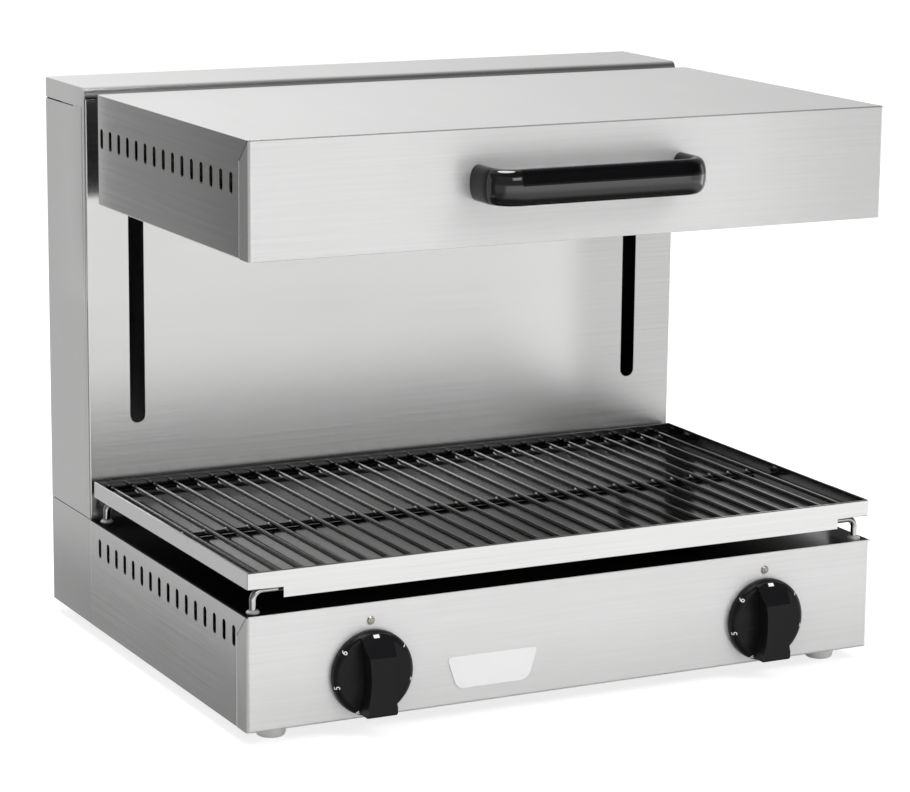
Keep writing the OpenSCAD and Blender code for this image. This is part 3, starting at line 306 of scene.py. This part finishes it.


# zones of the regions where shade is painted: an axis or a direction, the edge's start and end along it in
# metres, and how much of the region stays before the edge
# region stays before the edge
insideColumn = [(0, 0.2996, 0.2992), (0, -0.2996, -0.2992)]
frontReturns = (1, -0.2095, -0.2085)
hoodUp = (2, 0.390, 0.395)
underLeft = [(0, 0.27, 0.14)]
# the tray's inside, where shade is painted
inTray = [((1.0, 0.9, 0.0), -0.40, -0.14, 0.5), (0, 0.2976, 0.2970), (0, -0.2976, -0.2970),
          (1, -0.2078, -0.2070)]
finishes = {
    "steelAcross": steel((6, 420, 420), spreadTo=(0, 1, 1)),
    # the upright sides' inner faces, inside 0.2992 m either way, are darkened with weaker grazing reflections:
    # painted shade inside the column
    "steelUpright": steel((420, 420, 6), spreadTo=(1, 1, 0),
                          shade=[{"level": 0.12, "zones": insideColumn}],
                          rim={"level": 0.3, "zones": insideColumn}),
    # the fronts' colour is lighter than the other steel's: painted light on them
    "steelFront": steel((6, 420, 420), colour=(0.915, 0.915, 0.91), metal=0.6, rough=0.40,
                        spreadTo=(0, 1, 1),
                        # painted shade: returns and flanges behind the face darker, more on the hood; the hood
                        # darker towards the right; the panel darker towards the bottom; painted shadow lines
                        # along the hood's top and right edges
                        shade=[{"level": 0.64, "zones": [frontReturns]},
                               {"level": 0.70, "zones": [hoodUp, frontReturns]},
                               {"level": 0.80, "zones": [hoodUp, (0, 0.10, 0.30)]},
                               {"level": 0.88, "zones": [(2, 0.085, 0.012)]},
                               {"level": 0.42, "zones": [(2, 0.4948, 0.4953)]},
                               {"level": 0.60, "zones": [hoodUp, (0, 0.2957, 0.2963)]}]),
    "steelPanel": steel((6, 420, 420), colour=(0.765, 0.765, 0.76), spreadTo=(0, 1, 1)),
    "steelDeep": steel((420, 6, 420), spreadTo=(1, 0, 1)),
    # the hood shell is darker past 0.12 m back, at its rear wall: painted shade in the gap between hood and
    # column
    "steelShell": steel((420, 6, 420), spreadTo=(1, 0, 1),
                        shade=[{"level": 0.25, "zones": [(1, 0.1195, 0.1205)]}]),
    # the base top under the tray: colour darker than the other steel, and darker still with weaker grazing
    # reflections left of 0.14 m, fading out by 0.27 m: painted shade under the tray
    "steelUnderShaded": steel((6, 420, 420), colour=(0.30, 0.298, 0.295), rough=0.22, spreadTo=(0, 1, 1),
                        shade=[{"level": 0.45, "zones": underLeft}],
                        rim={"level": 0.25, "zones": underLeft}),
    # inside the tray, behind the front skirt and within the outer walls: darker towards the right and the
    # back, half as much at the front left, with weaker grazing reflections: painted shade
    "steelTray": steel((4, 400, 400), spread=0.11, rough=0.14, roughSpread=0.05,
                       shade=[{"level": 0.22, "zones": inTray}], rim={"level": 0.65, "zones": inTray}),
    "plainSheet": steel((40, 60, 60), colour=(0.62, 0.63, 0.63), rough=0.42),
    "reflectorSheet": steel((6, 500, 500), colour=(0.50, 0.48, 0.45), rough=0.32),
    "brightWire": steel((60, 60, 60), colour=(0.62, 0.61, 0.60), spread=0.10, rough=0.12),
    # a thin line along each wire's top is lit up to 5.5 times, less to the left: a painted highlight
    "gridWire": steel((60, 60, 60), colour=(0.065, 0.064, 0.063), spread=0.15, rough=0.10,
                      shade=[{"level": 5.5, "zones": [(2, 0.1400, 0.1403), (0, -0.26, 0.05, 0.4)]}]),
    "weldBead": steel((500, 500, 500), colour=(0.95, 0.94, 0.93), spread=0.05, rough=0.25),
    "collarSteel": steel((300, 300, 300), colour=(0.74, 0.73, 0.72), metal=0.5, rough=0.20),
    "oiledSteel": steel((1200, 1200, 4), colour=(0.07, 0.07, 0.075), rough=0.30),
    "elementSheath": steel((90, 90, 90), colour=(0.19, 0.17, 0.16), spread=0.25, rough=0.48),
    "structureSteel": steel((120, 120, 120), colour=(0.30, 0.31, 0.33), metal=0.3, rough=0.5),
    "groundSteel": steel((1200, 1200, 4), colour=(0.66, 0.66, 0.67), rough=0.16),
    "weightIron": steel((300, 300, 300), colour=(0.11, 0.11, 0.12), spread=0.18, metal=0.4, rough=0.72,
                        relief=0.35),
    "carriageMetal": steel((60, 60, 500), colour=(0.58, 0.59, 0.60), rough=0.40),
    "bronze": steel((500, 500, 500), colour=(0.62, 0.42, 0.20), rough=0.42),
    "fastenerZinc": steel((500, 500, 500), colour=(0.66, 0.67, 0.68), rough=0.25),
    "bezelMetal": steel((700, 700, 700), colour=(0.55, 0.53, 0.50), rough=0.22),
    "mineralWool": plain((400, 400, 160), colour=(0.20, 0.18, 0.13), spread=0.25, rough=0.95,
                         roughSpread=0.03, relief=0.8, depth=0.0006, cloud=25, cloudSpread=0.2),
    "ceramic": plain((200, 200, 200), colour=(0.82, 0.79, 0.71), spread=0.04, rough=0.22, roughSpread=0.05,
                     relief=0.1, depth=0.0001, cloud=40, cloudSpread=0.05),
    "nylon": plain((300, 300, 300), colour=(0.74, 0.72, 0.64), spread=0.03, rough=0.45, roughSpread=0.05,
                   relief=0.1, depth=0.0001, cloud=40, cloudSpread=0.04),
    # a shaded copy of the handle's black, with weaker reflections: painted shade on its legs and top
    "handleShadedBlack": plain((60, 60, 60), colour=(0.0025, 0.0025, 0.003), spread=0.2, rough=0.10,
                        roughSpread=0.04, specular=0.2, relief=0.04, depth=0.0001, cloud=30,
                        cloudSpread=0.1),
    "handleBlack": plain((60, 60, 60), colour=(0.0025, 0.0025, 0.003), spread=0.2, rough=0.07,
                         roughSpread=0.04, specular=1.0, relief=0.04, depth=0.0001, cloud=30,
                         cloudSpread=0.1),
    "knobBlack": plain((1500, 1500, 1500), colour=(0.006, 0.006, 0.007), spread=0.25, rough=0.33,
                       roughSpread=0.08, specular=0.22, relief=0.12, depth=0.00005, cloud=60,
                       cloudSpread=0.15),
    "footGrey": plain((700, 700, 700), colour=(0.86, 0.86, 0.85), spread=0.05, rough=0.5, roughSpread=0.08,
                      relief=0.15, depth=0.0001, cloud=60, cloudSpread=0.08),
    "bufferRubber": plain((500, 500, 500), colour=(0.020, 0.020, 0.020), spread=0.2, rough=0.8,
                          roughSpread=0.05, relief=0.2, depth=0.0001, cloud=60, cloudSpread=0.1),
    "lensAmber": plain((900, 900, 900), colour=(0.36, 0.31, 0.26), spread=0.15, rough=0.12,
                       roughSpread=0.04, relief=0.3, depth=0.0002, cloud=300, cloudSpread=0.3),
    "plateWhite": plain((90, 90, 90), colour=(0.80, 0.80, 0.80), spread=0.01, rough=0.18, roughSpread=0.03,
                        relief=0.03, depth=0.0001, cloud=40, cloudSpread=0.01),
    "markWhite": plain((900, 900, 900), colour=(0.84, 0.84, 0.83), spread=0.03, rough=0.5,
                       roughSpread=0.03, relief=0.05, depth=0.00005, cloud=90, cloudSpread=0.02),
    "regulatorCase": plain((400, 400, 400), colour=(0.72, 0.68, 0.58), spread=0.05, rough=0.5,
                           roughSpread=0.08, relief=0.1, depth=0.0001, cloud=40, cloudSpread=0.05),
    "glandBlack": plain((900, 900, 900), colour=(0.018, 0.018, 0.020), spread=0.2, rough=0.45,
                        roughSpread=0.08, relief=0.12, depth=0.0001, cloud=60, cloudSpread=0.1),
}


def regionFactor(tree, where, region):
    # the region's level where every zone is past its edge, and one where any zone is wholly before it
    parts = nodeIn(tree, "ShaderNodeSeparateXYZ", {0: where}).outputs
    change = 1.0 - region["level"]
    for axis, start, end, *least in region["zones"]:
        if isinstance(axis, tuple):
            dot = nodeIn(tree, "ShaderNodeVectorMath", {0: where, 1: axis}, operation="DOT_PRODUCT")
            along = dot.outputs["Value"]
        else:
            along = parts[axis]
        past = ramp(tree, along, (start, end), least[0] if least else 0.0, 1.0)
        change = mathNode(tree, "MULTIPLY", past, change)
    return mathNode(tree, "SUBTRACT", 1.0, change)


noiseMiddle = 0.5
brushedSpread = 0.7  # how much more a brushed sheet's reflections spread across the brushing than along it


def makeFinish(name, f):
    # grain is noise stretched along the brushing, clouds are broad noise, and both shift colour and gloss;
    # shade is (1 + twice the spreads times the noises about their middle) times each region's level, a painted
    # shade below one and a painted highlight above it
    material = bpy.data.materials.new(name)
    material.use_nodes = True
    tree = material.node_tree
    tree.nodes.clear()
    where = nodeIn(tree, "ShaderNodeTexCoord").outputs["Object"]
    stretched = nodeIn(tree, "ShaderNodeMapping", {"Vector": where, "Scale": f["grain"]}).outputs[0]
    fine = nodeIn(tree, "ShaderNodeTexNoise",
                  {"Vector": stretched, "Scale": 1.0, "Detail": 5.0, "Roughness": 0.65}).outputs[0]
    broad = nodeIn(tree, "ShaderNodeTexNoise",
                   {"Vector": where, "Scale": f["cloud"], "Detail": 4.0, "Roughness": 0.55}).outputs[0]
    shift = mathNode(tree, "SUBTRACT", fine, noiseMiddle)
    drift = mathNode(tree, "SUBTRACT", broad, noiseMiddle)
    shade = mathNode(tree, "ADD", mathNode(tree, "MULTIPLY", shift, 2 * f["spread"]),
                     mathNode(tree, "MULTIPLY", drift, 2 * f["cloudSpread"]))
    shade = mathNode(tree, "ADD", shade, 1.0)
    for region in f.get("shade", ()):
        shade = mathNode(tree, "MULTIPLY", shade, regionFactor(tree, where, region))
    colour = scaled(tree, f["colour"], shade)
    gloss = mathNode(tree, "ADD", mathNode(tree, "MULTIPLY", shift, 2 * f["roughSpread"]),
                     mathNode(tree, "MULTIPLY", drift, f["roughSpread"]))
    gloss = mathNode(tree, "ADD", gloss, f["rough"], clamp=True)
    relief = {"Height": fine, "Strength": f["relief"], "Distance": f["depth"]}
    bump = nodeIn(tree, "ShaderNodeBump", relief).outputs[0]
    surface = nodeIn(tree, "ShaderNodeBsdfPrincipled",
                     {"Base Color": colour, "Roughness": gloss, "Metallic": f["metal"],
                      "Specular IOR Level": f.get("specular", 0.5), "Normal": bump})
    if "rim" in f:
        # painted shade on reflections: less light thrown on at a grazing angle within the region
        tree.links.new(regionFactor(tree, where, f["rim"]), surface.inputs["Specular Tint"])
    if "spreadTo" in f:
        way = nodeIn(tree, "ShaderNodeCombineXYZ", dict(enumerate(f["spreadTo"]))).outputs[0]
        surface.inputs["Anisotropic"].default_value = brushedSpread
        tree.links.new(way, surface.inputs["Tangent"])
    out = nodeIn(tree, "ShaderNodeOutputMaterial")
    tree.links.new(surface.outputs[0], out.inputs["Surface"])
    return material


material = {name: makeFinish(name, f) for name, f in finishes.items()}
print("finishes made:", len(material))


def linkPiece(name, mesh, finish, body):
    piece = bpy.data.objects.new(name, mesh)
    bpy.context.collection.objects.link(piece)
    mesh.materials.clear()
    mesh.materials.append(material[finish])
    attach(piece, body)
    return piece


edgeSteps = 3  # segments in each fine edge's round


def outward(mesh):
    # turns every face outwards
    b = bmesh.new()
    b.from_mesh(mesh)
    bmesh.ops.recalc_face_normals(b, faces=b.faces)
    b.to_mesh(mesh)
    b.free()


def smoothed(mesh, angle=None):
    # smooth shading, with edges above the angle, in degrees, left sharp
    mesh.polygons.foreach_set("use_smooth", np.ones(len(mesh.polygons), bool))
    if angle:
        mesh.set_sharp_from_angle(angle=math.radians(angle))


def rounded(piece, width, angle):
    # edges above the angle get a small radius, in millimetres
    bevel = piece.modifiers.new("edges", "BEVEL")
    bevel.limit_method = "ANGLE"
    bevel.angle_limit = math.radians(angle)
    bevel.width = width * mm
    bevel.segments = edgeSteps
    bevel.harden_normals = True


# folded sheets: each keeps its CAD shape, its folds get a radius and its long cut edges a fine break
# bends are wide folds: the two axes across the fold, the outer corner there, the way inwards, and the radius
def frontBends(half, radius):
    return [((0, 1), (side * half, -212.0), (-side, 1), radius) for side in (-1, 1)]


folded = {
    "control_panel": {"finish": "steelFront", "fold": 0.9, "edge": 0.4,
                      "bends": frontBends(300.0, 4.0) + [((1, 2), (-212.0, 12.0), (1, 1), 2.4)]},
    "base_side_left": {"finish": "steelDeep", "fold": 0.6, "edge": 0.45},
    "base_side_right": {"finish": "steelDeep", "fold": 0.6, "edge": 0.45},
    "base_top": {"finish": "steelUnderShaded", "fold": 0.8, "edge": 0.3},
    "lower_side_left": {"finish": "steelUpright", "fold": 0.8, "edge": 0.4},
    "lower_side_right": {"finish": "steelUpright", "fold": 0.8, "edge": 0.4},
    "column_side_left": {"finish": "steelUpright", "fold": 0.8, "edge": 0.4},
    "column_side_right": {"finish": "steelUpright", "fold": 0.8, "edge": 0.4},
    "column_front": {"finish": "steelPanel", "fold": 1.5, "edge": 0.4},
    "column_cap": {"finish": "steelAcross", "fold": 1.2, "edge": 0.35,
                   "bends": [((1, 2), (145.0, 499.0), (1, -1), 7.5)]},
    "rear_panel": {"finish": "steelAcross", "fold": 0.8, "edge": 0.2},
    "hood_shell": {"finish": "steelShell", "fold": 1.3, "edge": 0.4},
    "hood_front": {"finish": "steelFront", "fold": 1.0, "edge": 0.4, "bends": frontBends(297.0, 2.6)},
    "drip_tray": {"finish": "steelTray", "fold": 0.8, "edge": 0.3},
}
bigFace = 0.0012  # square metres: a face this large is a panel, not a cut edge
shortEdge = 0.030  # metres: a shorter cut edge is left sharp
bendSteps = 7
joinWithin = 2e-6  # metres: corners this close are one
flatWithin = 0.5  # degrees between faces that become one
foldAbove = 0.5  # radians between faces that meet in a fold or a cut edge
hair = 1e-6  # a distance or share below this counts as none


def bodyOf(node):
    for body, members in frame["record"]["behaviour"]["bodies"].items():
        if node in members:
            return body


def cadCopy(node):
    # the node's triangles joined at their corners, with flat regions made into single faces
    mesh = nodes[node].data.copy()
    b = bmesh.new()
    b.from_mesh(mesh)
    bmesh.ops.remove_doubles(b, verts=b.verts, dist=joinWithin)
    bmesh.ops.dissolve_limit(b, angle_limit=math.radians(flatWithin), verts=b.verts, edges=b.edges)
    return mesh, b


def bendCorner(b, axes, corner, inward, radius):
    # the square zone at the corner is sliced, and its squares round the zone's centre become circles: a point
    # goes out by its larger distance from the centre, at an angle that grows evenly along its square
    corner, inward, radius = np.array(corner) * mm, np.array(inward), radius * mm
    for turn in (0, 1):
        for k in range(1, bendSteps + 1):
            spot, normal = [0.0] * 3, [0.0] * 3
            spot[axes[turn]] = float(corner[turn] + inward[turn] * radius * k / bendSteps)
            normal[axes[turn]] = 1.0
            near = [f for f in b.faces if turn == 0 or all(
                (v.co[axes[0]] - corner[0]) * inward[0] < radius + hair for v in f.verts)]
            parts = {e for f in near for e in f.edges} | {v for f in near for v in f.verts}
            bmesh.ops.bisect_plane(b, geom=near + list(parts), dist=hair / 10, plane_co=spot, plane_no=normal)
    points = np.array([v.co for v in b.verts])
    in0, in1 = (1 - (points[:, a] - corner[i]) * inward[i] / radius for i, a in enumerate(axes))
    inside = (in0 > hair) & (in1 > hair)
    in0, in1 = in0[inside], in1[inside]
    reach = np.maximum(in0, in1)
    angle = np.pi / 4 * np.where(in0 >= in1, in1 / in0, 2 - in0 / in1)
    for i, part in enumerate((reach * np.cos(angle), reach * np.sin(angle))):
        points[inside, axes[i]] = corner[i] + inward[i] * radius * (1 - part)
    for v, point in zip(b.verts, points):
        v.co = point


def foldSheet(node, p):
    # after its bends, an edge where two faces meet is rounded by the fold's radius times the edge's weight:
    # one between two panels, less at a long cut edge, and none at a short one
    mesh, b = cadCopy(node)
    for bend in p.get("bends", ()):
        bendCorner(b, *bend)
    weight = b.edges.layers.float.new("bevel_weight_edge")
    for edge in b.edges:
        if len(edge.link_faces) == 2 and edge.calc_face_angle(0) > foldAbove:
            panel = min(f.calc_area() for f in edge.link_faces) > bigFace
            if panel or edge.calc_length() > shortEdge:
                edge[weight] = 1.0 if panel else p["edge"] / p["fold"]
    b.to_mesh(mesh)
    b.free()
    mesh.name = node + "_sheet"
    piece = linkPiece(node + "_sheet", mesh, p["finish"], bodyOf(node))
    bevel = piece.modifiers.new("fold", "BEVEL")
    bevel.limit_method = "WEIGHT"
    bevel.width = p["fold"] * mm
    bevel.segments = edgeSteps
    bevel.use_clamp_overlap = False
    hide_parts(node)


for node, p in folded.items():
    foldSheet(node, p)
print("sheets folded:", len(folded))


# turned and moulded pieces: their CAD shapes with rounded edges, in millimetres
moulded = {
    "knob_left": {"finish": "knobBlack", "edge": 0.7},
    "knob_right": {"finish": "knobBlack", "edge": 0.7},
    "feet": {"finish": "footGrey", "edge": 0.4},
    "lamp_bezels": {"finish": "bezelMetal", "edge": 0.15},
    "cable_gland": {"finish": "glandBlack", "edge": 0.4},
}
mouldedSharp = 28  # degrees


def mouldPiece(node, p):
    # the CAD shape with smooth faces, and its sharp edges rounded
    mesh, b = cadCopy(node)
    b.to_mesh(mesh)
    b.free()
    mesh.name = node + "_moulded"
    smoothed(mesh, mouldedSharp)
    piece = linkPiece(node + "_moulded", mesh, p["finish"], bodyOf(node))
    rounded(piece, p["edge"], mouldedSharp)
    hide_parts(node)


for node, p in moulded.items():
    mouldPiece(node, p)


# the plain plate on the control panel, in millimetres; its corners are place, height and radius
plate = {"centre": (-77.0, 40.0),
         "corners": [(-43, 14, 3.5), (43, 14, 3.5), (33.5, -14, 10), (-33.5, -14, 10)],
         "face": -212.0, "thick": 1.2, "edge": 0.35, "steps": 10, "sharp": 35}


def roundedOutline(corners, steps):
    # each corner becomes an arc touching both of its sides
    spots = np.array([c[:2] for c in corners], float)
    outline = []
    for i, (x, z, radius) in enumerate(corners):
        back, on = spots[i - 1] - spots[i], spots[(i + 1) % len(spots)] - spots[i]
        back, on = back / np.linalg.norm(back), on / np.linalg.norm(on)
        half = math.acos(np.clip(back @ on, -1, 1)) / 2
        middle = (back + on) / np.linalg.norm(back + on)
        centre = spots[i] + middle * radius / math.sin(half)
        first = spots[i] + back * radius / math.tan(half) - centre
        last = spots[i] + on * radius / math.tan(half) - centre
        start = math.atan2(first[1], first[0])
        sweep = (math.atan2(last[1], last[0]) - start + math.pi) % (2 * math.pi) - math.pi
        turns = start + np.linspace(0, 1, steps + 1) * sweep
        outline.append(centre + radius * np.stack([np.cos(turns), np.sin(turns)], 1))
    return np.concatenate(outline)


def makePlate(p):
    # the outline at the panel's face and again its thickness in front of it, with walls between the two
    outline = roundedOutline(p["corners"], p["steps"]) + p["centre"]
    n = len(outline)
    depths = (p["face"], p["face"] - p["thick"])
    layers = [np.stack([outline[:, 0], np.full(n, y), outline[:, 1]], 1) for y in depths]
    walls = [[i, (i + 1) % n, n + (i + 1) % n, n + i] for i in range(n)]
    faces = [list(range(n)), list(range(n, 2 * n))] + walls
    mesh = bpy.data.meshes.new("plain_plate")
    mesh.from_pydata((np.concatenate(layers) * mm).tolist(), [], faces)
    outward(mesh)
    smoothed(mesh, p["sharp"])
    piece = linkPiece("plain_plate", mesh, "plateWhite", "cabinet")
    rounded(piece, p["edge"], p["sharp"])
    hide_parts("badge_plate")


# the handle, in millimetres: half its length and how far it stands out at its middle line, its bends' radius,
# its section, and its place; on its legs, and above upper as far as straight on the left, a shaded copy of its
# black with weaker reflections paints shade
handle = {"reach": 95.0, "out": 39.0, "bend": 18.0, "thick": 16.0, "tall": 30.0, "power": 2.3, "around": 64,
          "height": 451.5, "face": -212.0, "legs": 27.0, "upper": 1.5, "straight": 78.0, "sharp": 50,
          "steps": {"leg": 8, "bend": 25, "bar": 10}}


def handlePath(p):
    # along a leg, a quarter circle, half the bar, and the same mirrored
    n, start = p["steps"], p["out"] - p["bend"]
    quarter = np.linspace(0, np.pi / 2, n["bend"])
    leg = np.stack([np.full(n["leg"], -p["reach"]), np.linspace(0, start, n["leg"], endpoint=False)], 1)
    arc = np.stack([-p["reach"] + p["bend"] * (1 - np.cos(quarter)), start + p["bend"] * np.sin(quarter)], 1)
    along = np.linspace(-p["reach"] + p["bend"], 0, n["bar"])[1:]
    bar = np.stack([along, np.full(len(along), p["out"])], 1)
    half = np.concatenate([leg, arc, bar])
    other = half[::-1][1:] * (-1, 1)
    return np.concatenate([half, other])


def sweepMesh(name, path, section, lift):
    # each ring is the section set across the path: its first coordinate to the side, its second upright
    ahead = np.gradient(path, axis=0)
    ahead /= np.linalg.norm(ahead, axis=1, keepdims=True)
    side = np.stack([-ahead[:, 1], ahead[:, 0]], 1)
    rings = path[:, None, :] + section[None, :, :1] * side[:, None, :]
    points = np.concatenate([rings, np.broadcast_to(section[None, :, 1:] + lift, rings.shape[:2] + (1,))], 2)
    n, m = rings.shape[:2]
    i, j = np.meshgrid(np.arange(n - 1), np.arange(m), indexing="ij")
    k = (j + 1) % m
    quads = np.stack([i * m + j, i * m + k, (i + 1) * m + k, (i + 1) * m + j], -1).reshape(-1, 4)
    faces = quads.tolist() + [list(range(m))[::-1], list(range((n - 1) * m, n * m))]
    mesh = bpy.data.meshes.new(name)
    mesh.from_pydata(points.reshape(-1, 3).tolist(), [], faces)
    return mesh


def makeHandle(p):
    # section: a superellipse, its corners squarer as the power grows
    t = np.linspace(0, 2 * np.pi, p["around"], endpoint=False)
    c, s = np.cos(t), np.sin(t)
    section = np.stack([np.sign(c) * np.abs(c) ** (2 / p["power"]) * p["thick"] / 2,
                        np.sign(s) * np.abs(s) ** (2 / p["power"]) * p["tall"] / 2], 1)
    path = handlePath(p) * (1, -1) + (0, p["face"])
    mesh = sweepMesh("handle_bar", path * mm, section * mm, p["height"] * mm)
    outward(mesh)
    smoothed(mesh, p["sharp"])
    piece = linkPiece("handle_bar", mesh, "handleBlack", "hood")
    # the legs and top take the shaded copy: painted shade
    mesh.materials.append(material["handleShadedBlack"])
    middles = np.empty(len(mesh.polygons) * 3)
    mesh.polygons.foreach_get("center", middles)
    x, y, z = middles.reshape(-1, 3).T / mm
    onLegs = y > p["face"] - p["legs"]
    onTop = (z > p["height"] + p["upper"]) & (x > -p["straight"])
    mesh.polygons.foreach_set("material_index", (onLegs | onTop).astype(np.int32))
    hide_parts("handle")


makePlate(plate)
makeHandle(handle)
print("plate and handle made")


# weld beads, in millimetres: one flattened bead at each crossing of the grid
beads = {"wires": 29, "span": 282.1, "rows": (125.0, -35.0, -195.0), "height": 136.9, "size": (3.3, 3.0, 2.2),
         "around": 10, "rings": 5}


def makeBeads(p):
    # a bead is rings between two poles, each point at the sine and cosine of its two angles times the bead's
    # size, copied to every crossing
    heights = np.linspace(0, np.pi, p["rings"] + 2)[1:-1]
    turns = np.arange(p["around"]) * 2 * np.pi / p["around"]
    up, turn = np.meshgrid(heights, turns, indexing="ij")
    ball = np.stack([np.sin(up) * np.cos(turn), np.sin(up) * np.sin(turn), np.cos(up)], -1).reshape(-1, 3)
    ball = np.concatenate([ball, [[0, 0, 1], [0, 0, -1]]]) * p["size"]
    m, top = p["around"], len(ball) - 2
    last = (p["rings"] - 1) * m
    i, j = np.meshgrid(np.arange(p["rings"] - 1), np.arange(m), indexing="ij")
    k = (j + 1) % m
    quads = np.stack([i * m + j, (i + 1) * m + j, (i + 1) * m + k, i * m + k], -1).reshape(-1, 4).tolist()
    caps = [[top, a, (a + 1) % m] for a in range(m)]
    caps += [[top + 1, last + (a + 1) % m, last + a] for a in range(m)]
    x, y = np.meshgrid(np.linspace(-p["span"], p["span"], p["wires"]), p["rows"])
    spots = np.stack([x.ravel(), y.ravel(), np.full(x.size, p["height"])], 1)
    points = (spots[:, None] + ball[None]).reshape(-1, 3) * mm
    faces = [[v + n * len(ball) for v in f] for n in range(len(spots)) for f in quads + caps]
    mesh = bpy.data.meshes.new("weld_beads")
    mesh.from_pydata(points.tolist(), [], faces)
    outward(mesh)
    smoothed(mesh)
    linkPiece("weld_beads", mesh, "weldBead", "grid")


makeBeads(beads)
print("beads made:", beads["wires"] * len(beads["rows"]))


# dial marks, in millimetres: numerals that bend over the dial's shoulder, and a patch on the grip's slope;
# the cuts are the axes and steps at which a numeral is sliced so that it can bend
dial = {"radius": 36.5, "shoulder": 6.0, "top": 8.6, "size": 7.9, "depth": 0.10, "sink": 0.02, "face": -213.0,
        "height": 51.0, "cuts": ((1, 0.45), (0, 1.5)), "half": 4.5, "marks": ["1", "2", "3", "4", "5", "6"]}
pointer = {"from": (18.0, 23.6), "to": (35.0, 8.4), "centre": 20.3, "long": 3.2, "wide": 5.2, "depth": 0.10,
           "sink": 0.02}
boxFaces = ((0, 1, 3, 2), (4, 6, 7, 5), (0, 4, 5, 1), (2, 3, 7, 6), (0, 2, 6, 4), (1, 5, 7, 3))
knobs = {"knob_left": -190.0, "knob_right": 190.0}
markJoin = 1e-5  # millimetres: a numeral's corners this close are one


def textMesh(word, size, depth):
    # one numeral as a thin solid, centred
    curve = bpy.data.curves.new("word", "FONT")
    curve.body = word
    curve.size = size
    curve.extrude = depth / 2
    curve.align_x, curve.align_y = "CENTER", "CENTER"
    holder = bpy.data.objects.new("word", curve)
    bpy.context.collection.objects.link(holder)
    bpy.context.view_layer.update()
    mesh = bpy.data.meshes.new_from_object(holder.evaluated_get(bpy.context.evaluated_depsgraph_get()))
    bpy.data.objects.remove(holder)
    return mesh


def sliced(mesh, axis, step, reach):
    # cut across one axis at even steps, so that the letter can bend there
    b = bmesh.new()
    b.from_mesh(mesh)
    bmesh.ops.remove_doubles(b, verts=b.verts, dist=markJoin)
    normal = [1.0 if i == axis else 0.0 for i in range(3)]
    for at in np.arange(-reach, reach, step):
        bmesh.ops.bisect_plane(b, geom=b.verts[:] + b.edges[:] + b.faces[:], dist=hair,
                               plane_co=[float(at) * n for n in normal], plane_no=normal)
    bmesh.ops.triangulate(b, faces=b.faces)
    b.to_mesh(mesh)
    b.free()


def onShoulder(p, points, angle):
    # a point's height on the letter runs down the shoulder's quarter circle, its width runs round the dial,
    # and its depth stands off the surface
    bend = np.pi / 4 - points[:, 1] / p["shoulder"]
    over = np.clip(bend - np.pi / 2, 0, None) * p["shoulder"]
    arc = np.clip(bend, 0, np.pi / 2)
    off = p["shoulder"] + points[:, 2] + p["depth"] / 2 - p["sink"]
    radius = p["radius"] - p["shoulder"] + off * np.cos(arc) - over
    height = p["top"] - p["shoulder"] + off * np.sin(arc)
    turn = angle - points[:, 0] / p["radius"]
    return np.stack([radius * np.cos(turn), radius * np.sin(turn), height], 1)


def makeDial(body, x, p, q):
    # numerals at sevenths of a turn clockwise from the pointer, with the pointer's patch on the grip's slope
    points, faces, count = [], [], 0
    for i, word in enumerate(p["marks"], 1):
        mesh = textMesh(word, p["size"], p["depth"])
        for axis, step in p["cuts"]:
            sliced(mesh, axis, step, p["half"])
        co = np.empty(len(mesh.vertices) * 3)
        mesh.vertices.foreach_get("co", co)
        points.append(onShoulder(p, co.reshape(-1, 3), math.radians(90 - i * 360 / (len(p["marks"]) + 1))))
        faces += [[v + count for v in f.vertices] for f in mesh.polygons]
        count += len(mesh.vertices)
        bpy.data.meshes.remove(mesh)
    start, end = np.array(q["from"]), np.array(q["to"])
    along = (end - start) / np.linalg.norm(end - start)
    out = np.array([-along[1], along[0]])
    i, j, k = np.meshgrid((-1, 1), (-1, 1), (0, 1), indexing="ij")
    i, j, k = i.reshape(-1, 1), j.reshape(-1, 1), k.reshape(-1, 1)
    spots = start + along * (q["centre"] + j * q["long"] / 2) + out * (k * q["depth"] - q["sink"])
    points.append(np.concatenate([i * q["wide"] / 2, spots], 1))
    faces += [[v + count for v in f] for f in boxFaces]
    points = np.concatenate(points)
    place = np.stack([points[:, 0] + x, p["face"] - points[:, 2], points[:, 1] + p["height"]], 1) * mm
    mesh = bpy.data.meshes.new(body + "_marks")
    mesh.from_pydata(place.tolist(), [], faces)
    outward(mesh)
    linkPiece(body + "_marks", mesh, "markWhite", body)


for body, x in knobs.items():
    makeDial(body, x, dial, pointer)
print("dials marked")


# finishes on the CAD pieces that stay
kept = {
    "base_bottom": "plainSheet", "panel_screws": "fastenerZinc", "foot_screws": "fastenerZinc",
    "tray_rod_front": "brightWire", "tray_rod_rear": "brightWire", "rod_collars": "collarSteel",
    "wire_grid": "gridWire", "reflector": "reflectorSheet", "insulation": "mineralWool",
    "element_left": "elementSheath", "element_right": "elementSheath", "element_bushings": "ceramic",
    "element_supports": "plainSheet", "handle_screws": "fastenerZinc", "arm_left": "structureSteel",
    "arm_right": "structureSteel", "arm_bolts": "fastenerZinc", "carriage_left": "carriageMetal",
    "carriage_right": "carriageMetal", "carriage_bushes": "bronze", "guide_rods": "oiledSteel",
    "rod_sockets": "structureSteel", "top_beam": "structureSteel", "pulley_brackets": "structureSteel",
    "pulley_pins": "groundSteel", "pulley_left": "nylon", "pulley_right": "nylon",
    "cable_left": "groundSteel", "cable_right": "groundSteel", "counterweight": "weightIron",
    "weight_rods": "groundSteel",
    "weight_buffers": "bufferRubber", "knob_shaft_left": "groundSteel", "knob_shaft_right": "groundSteel",
    "regulator_left": "regulatorCase", "regulator_right": "regulatorCase", "regulator_screws": "fastenerZinc",
    "lamp_lenses": "lensAmber", "terminal_block": "ceramic",
}
for node, finish in kept.items():
    for held in nodes[node].material_slots:
        held.material = material[finish]
print("finishes given:", len(kept))
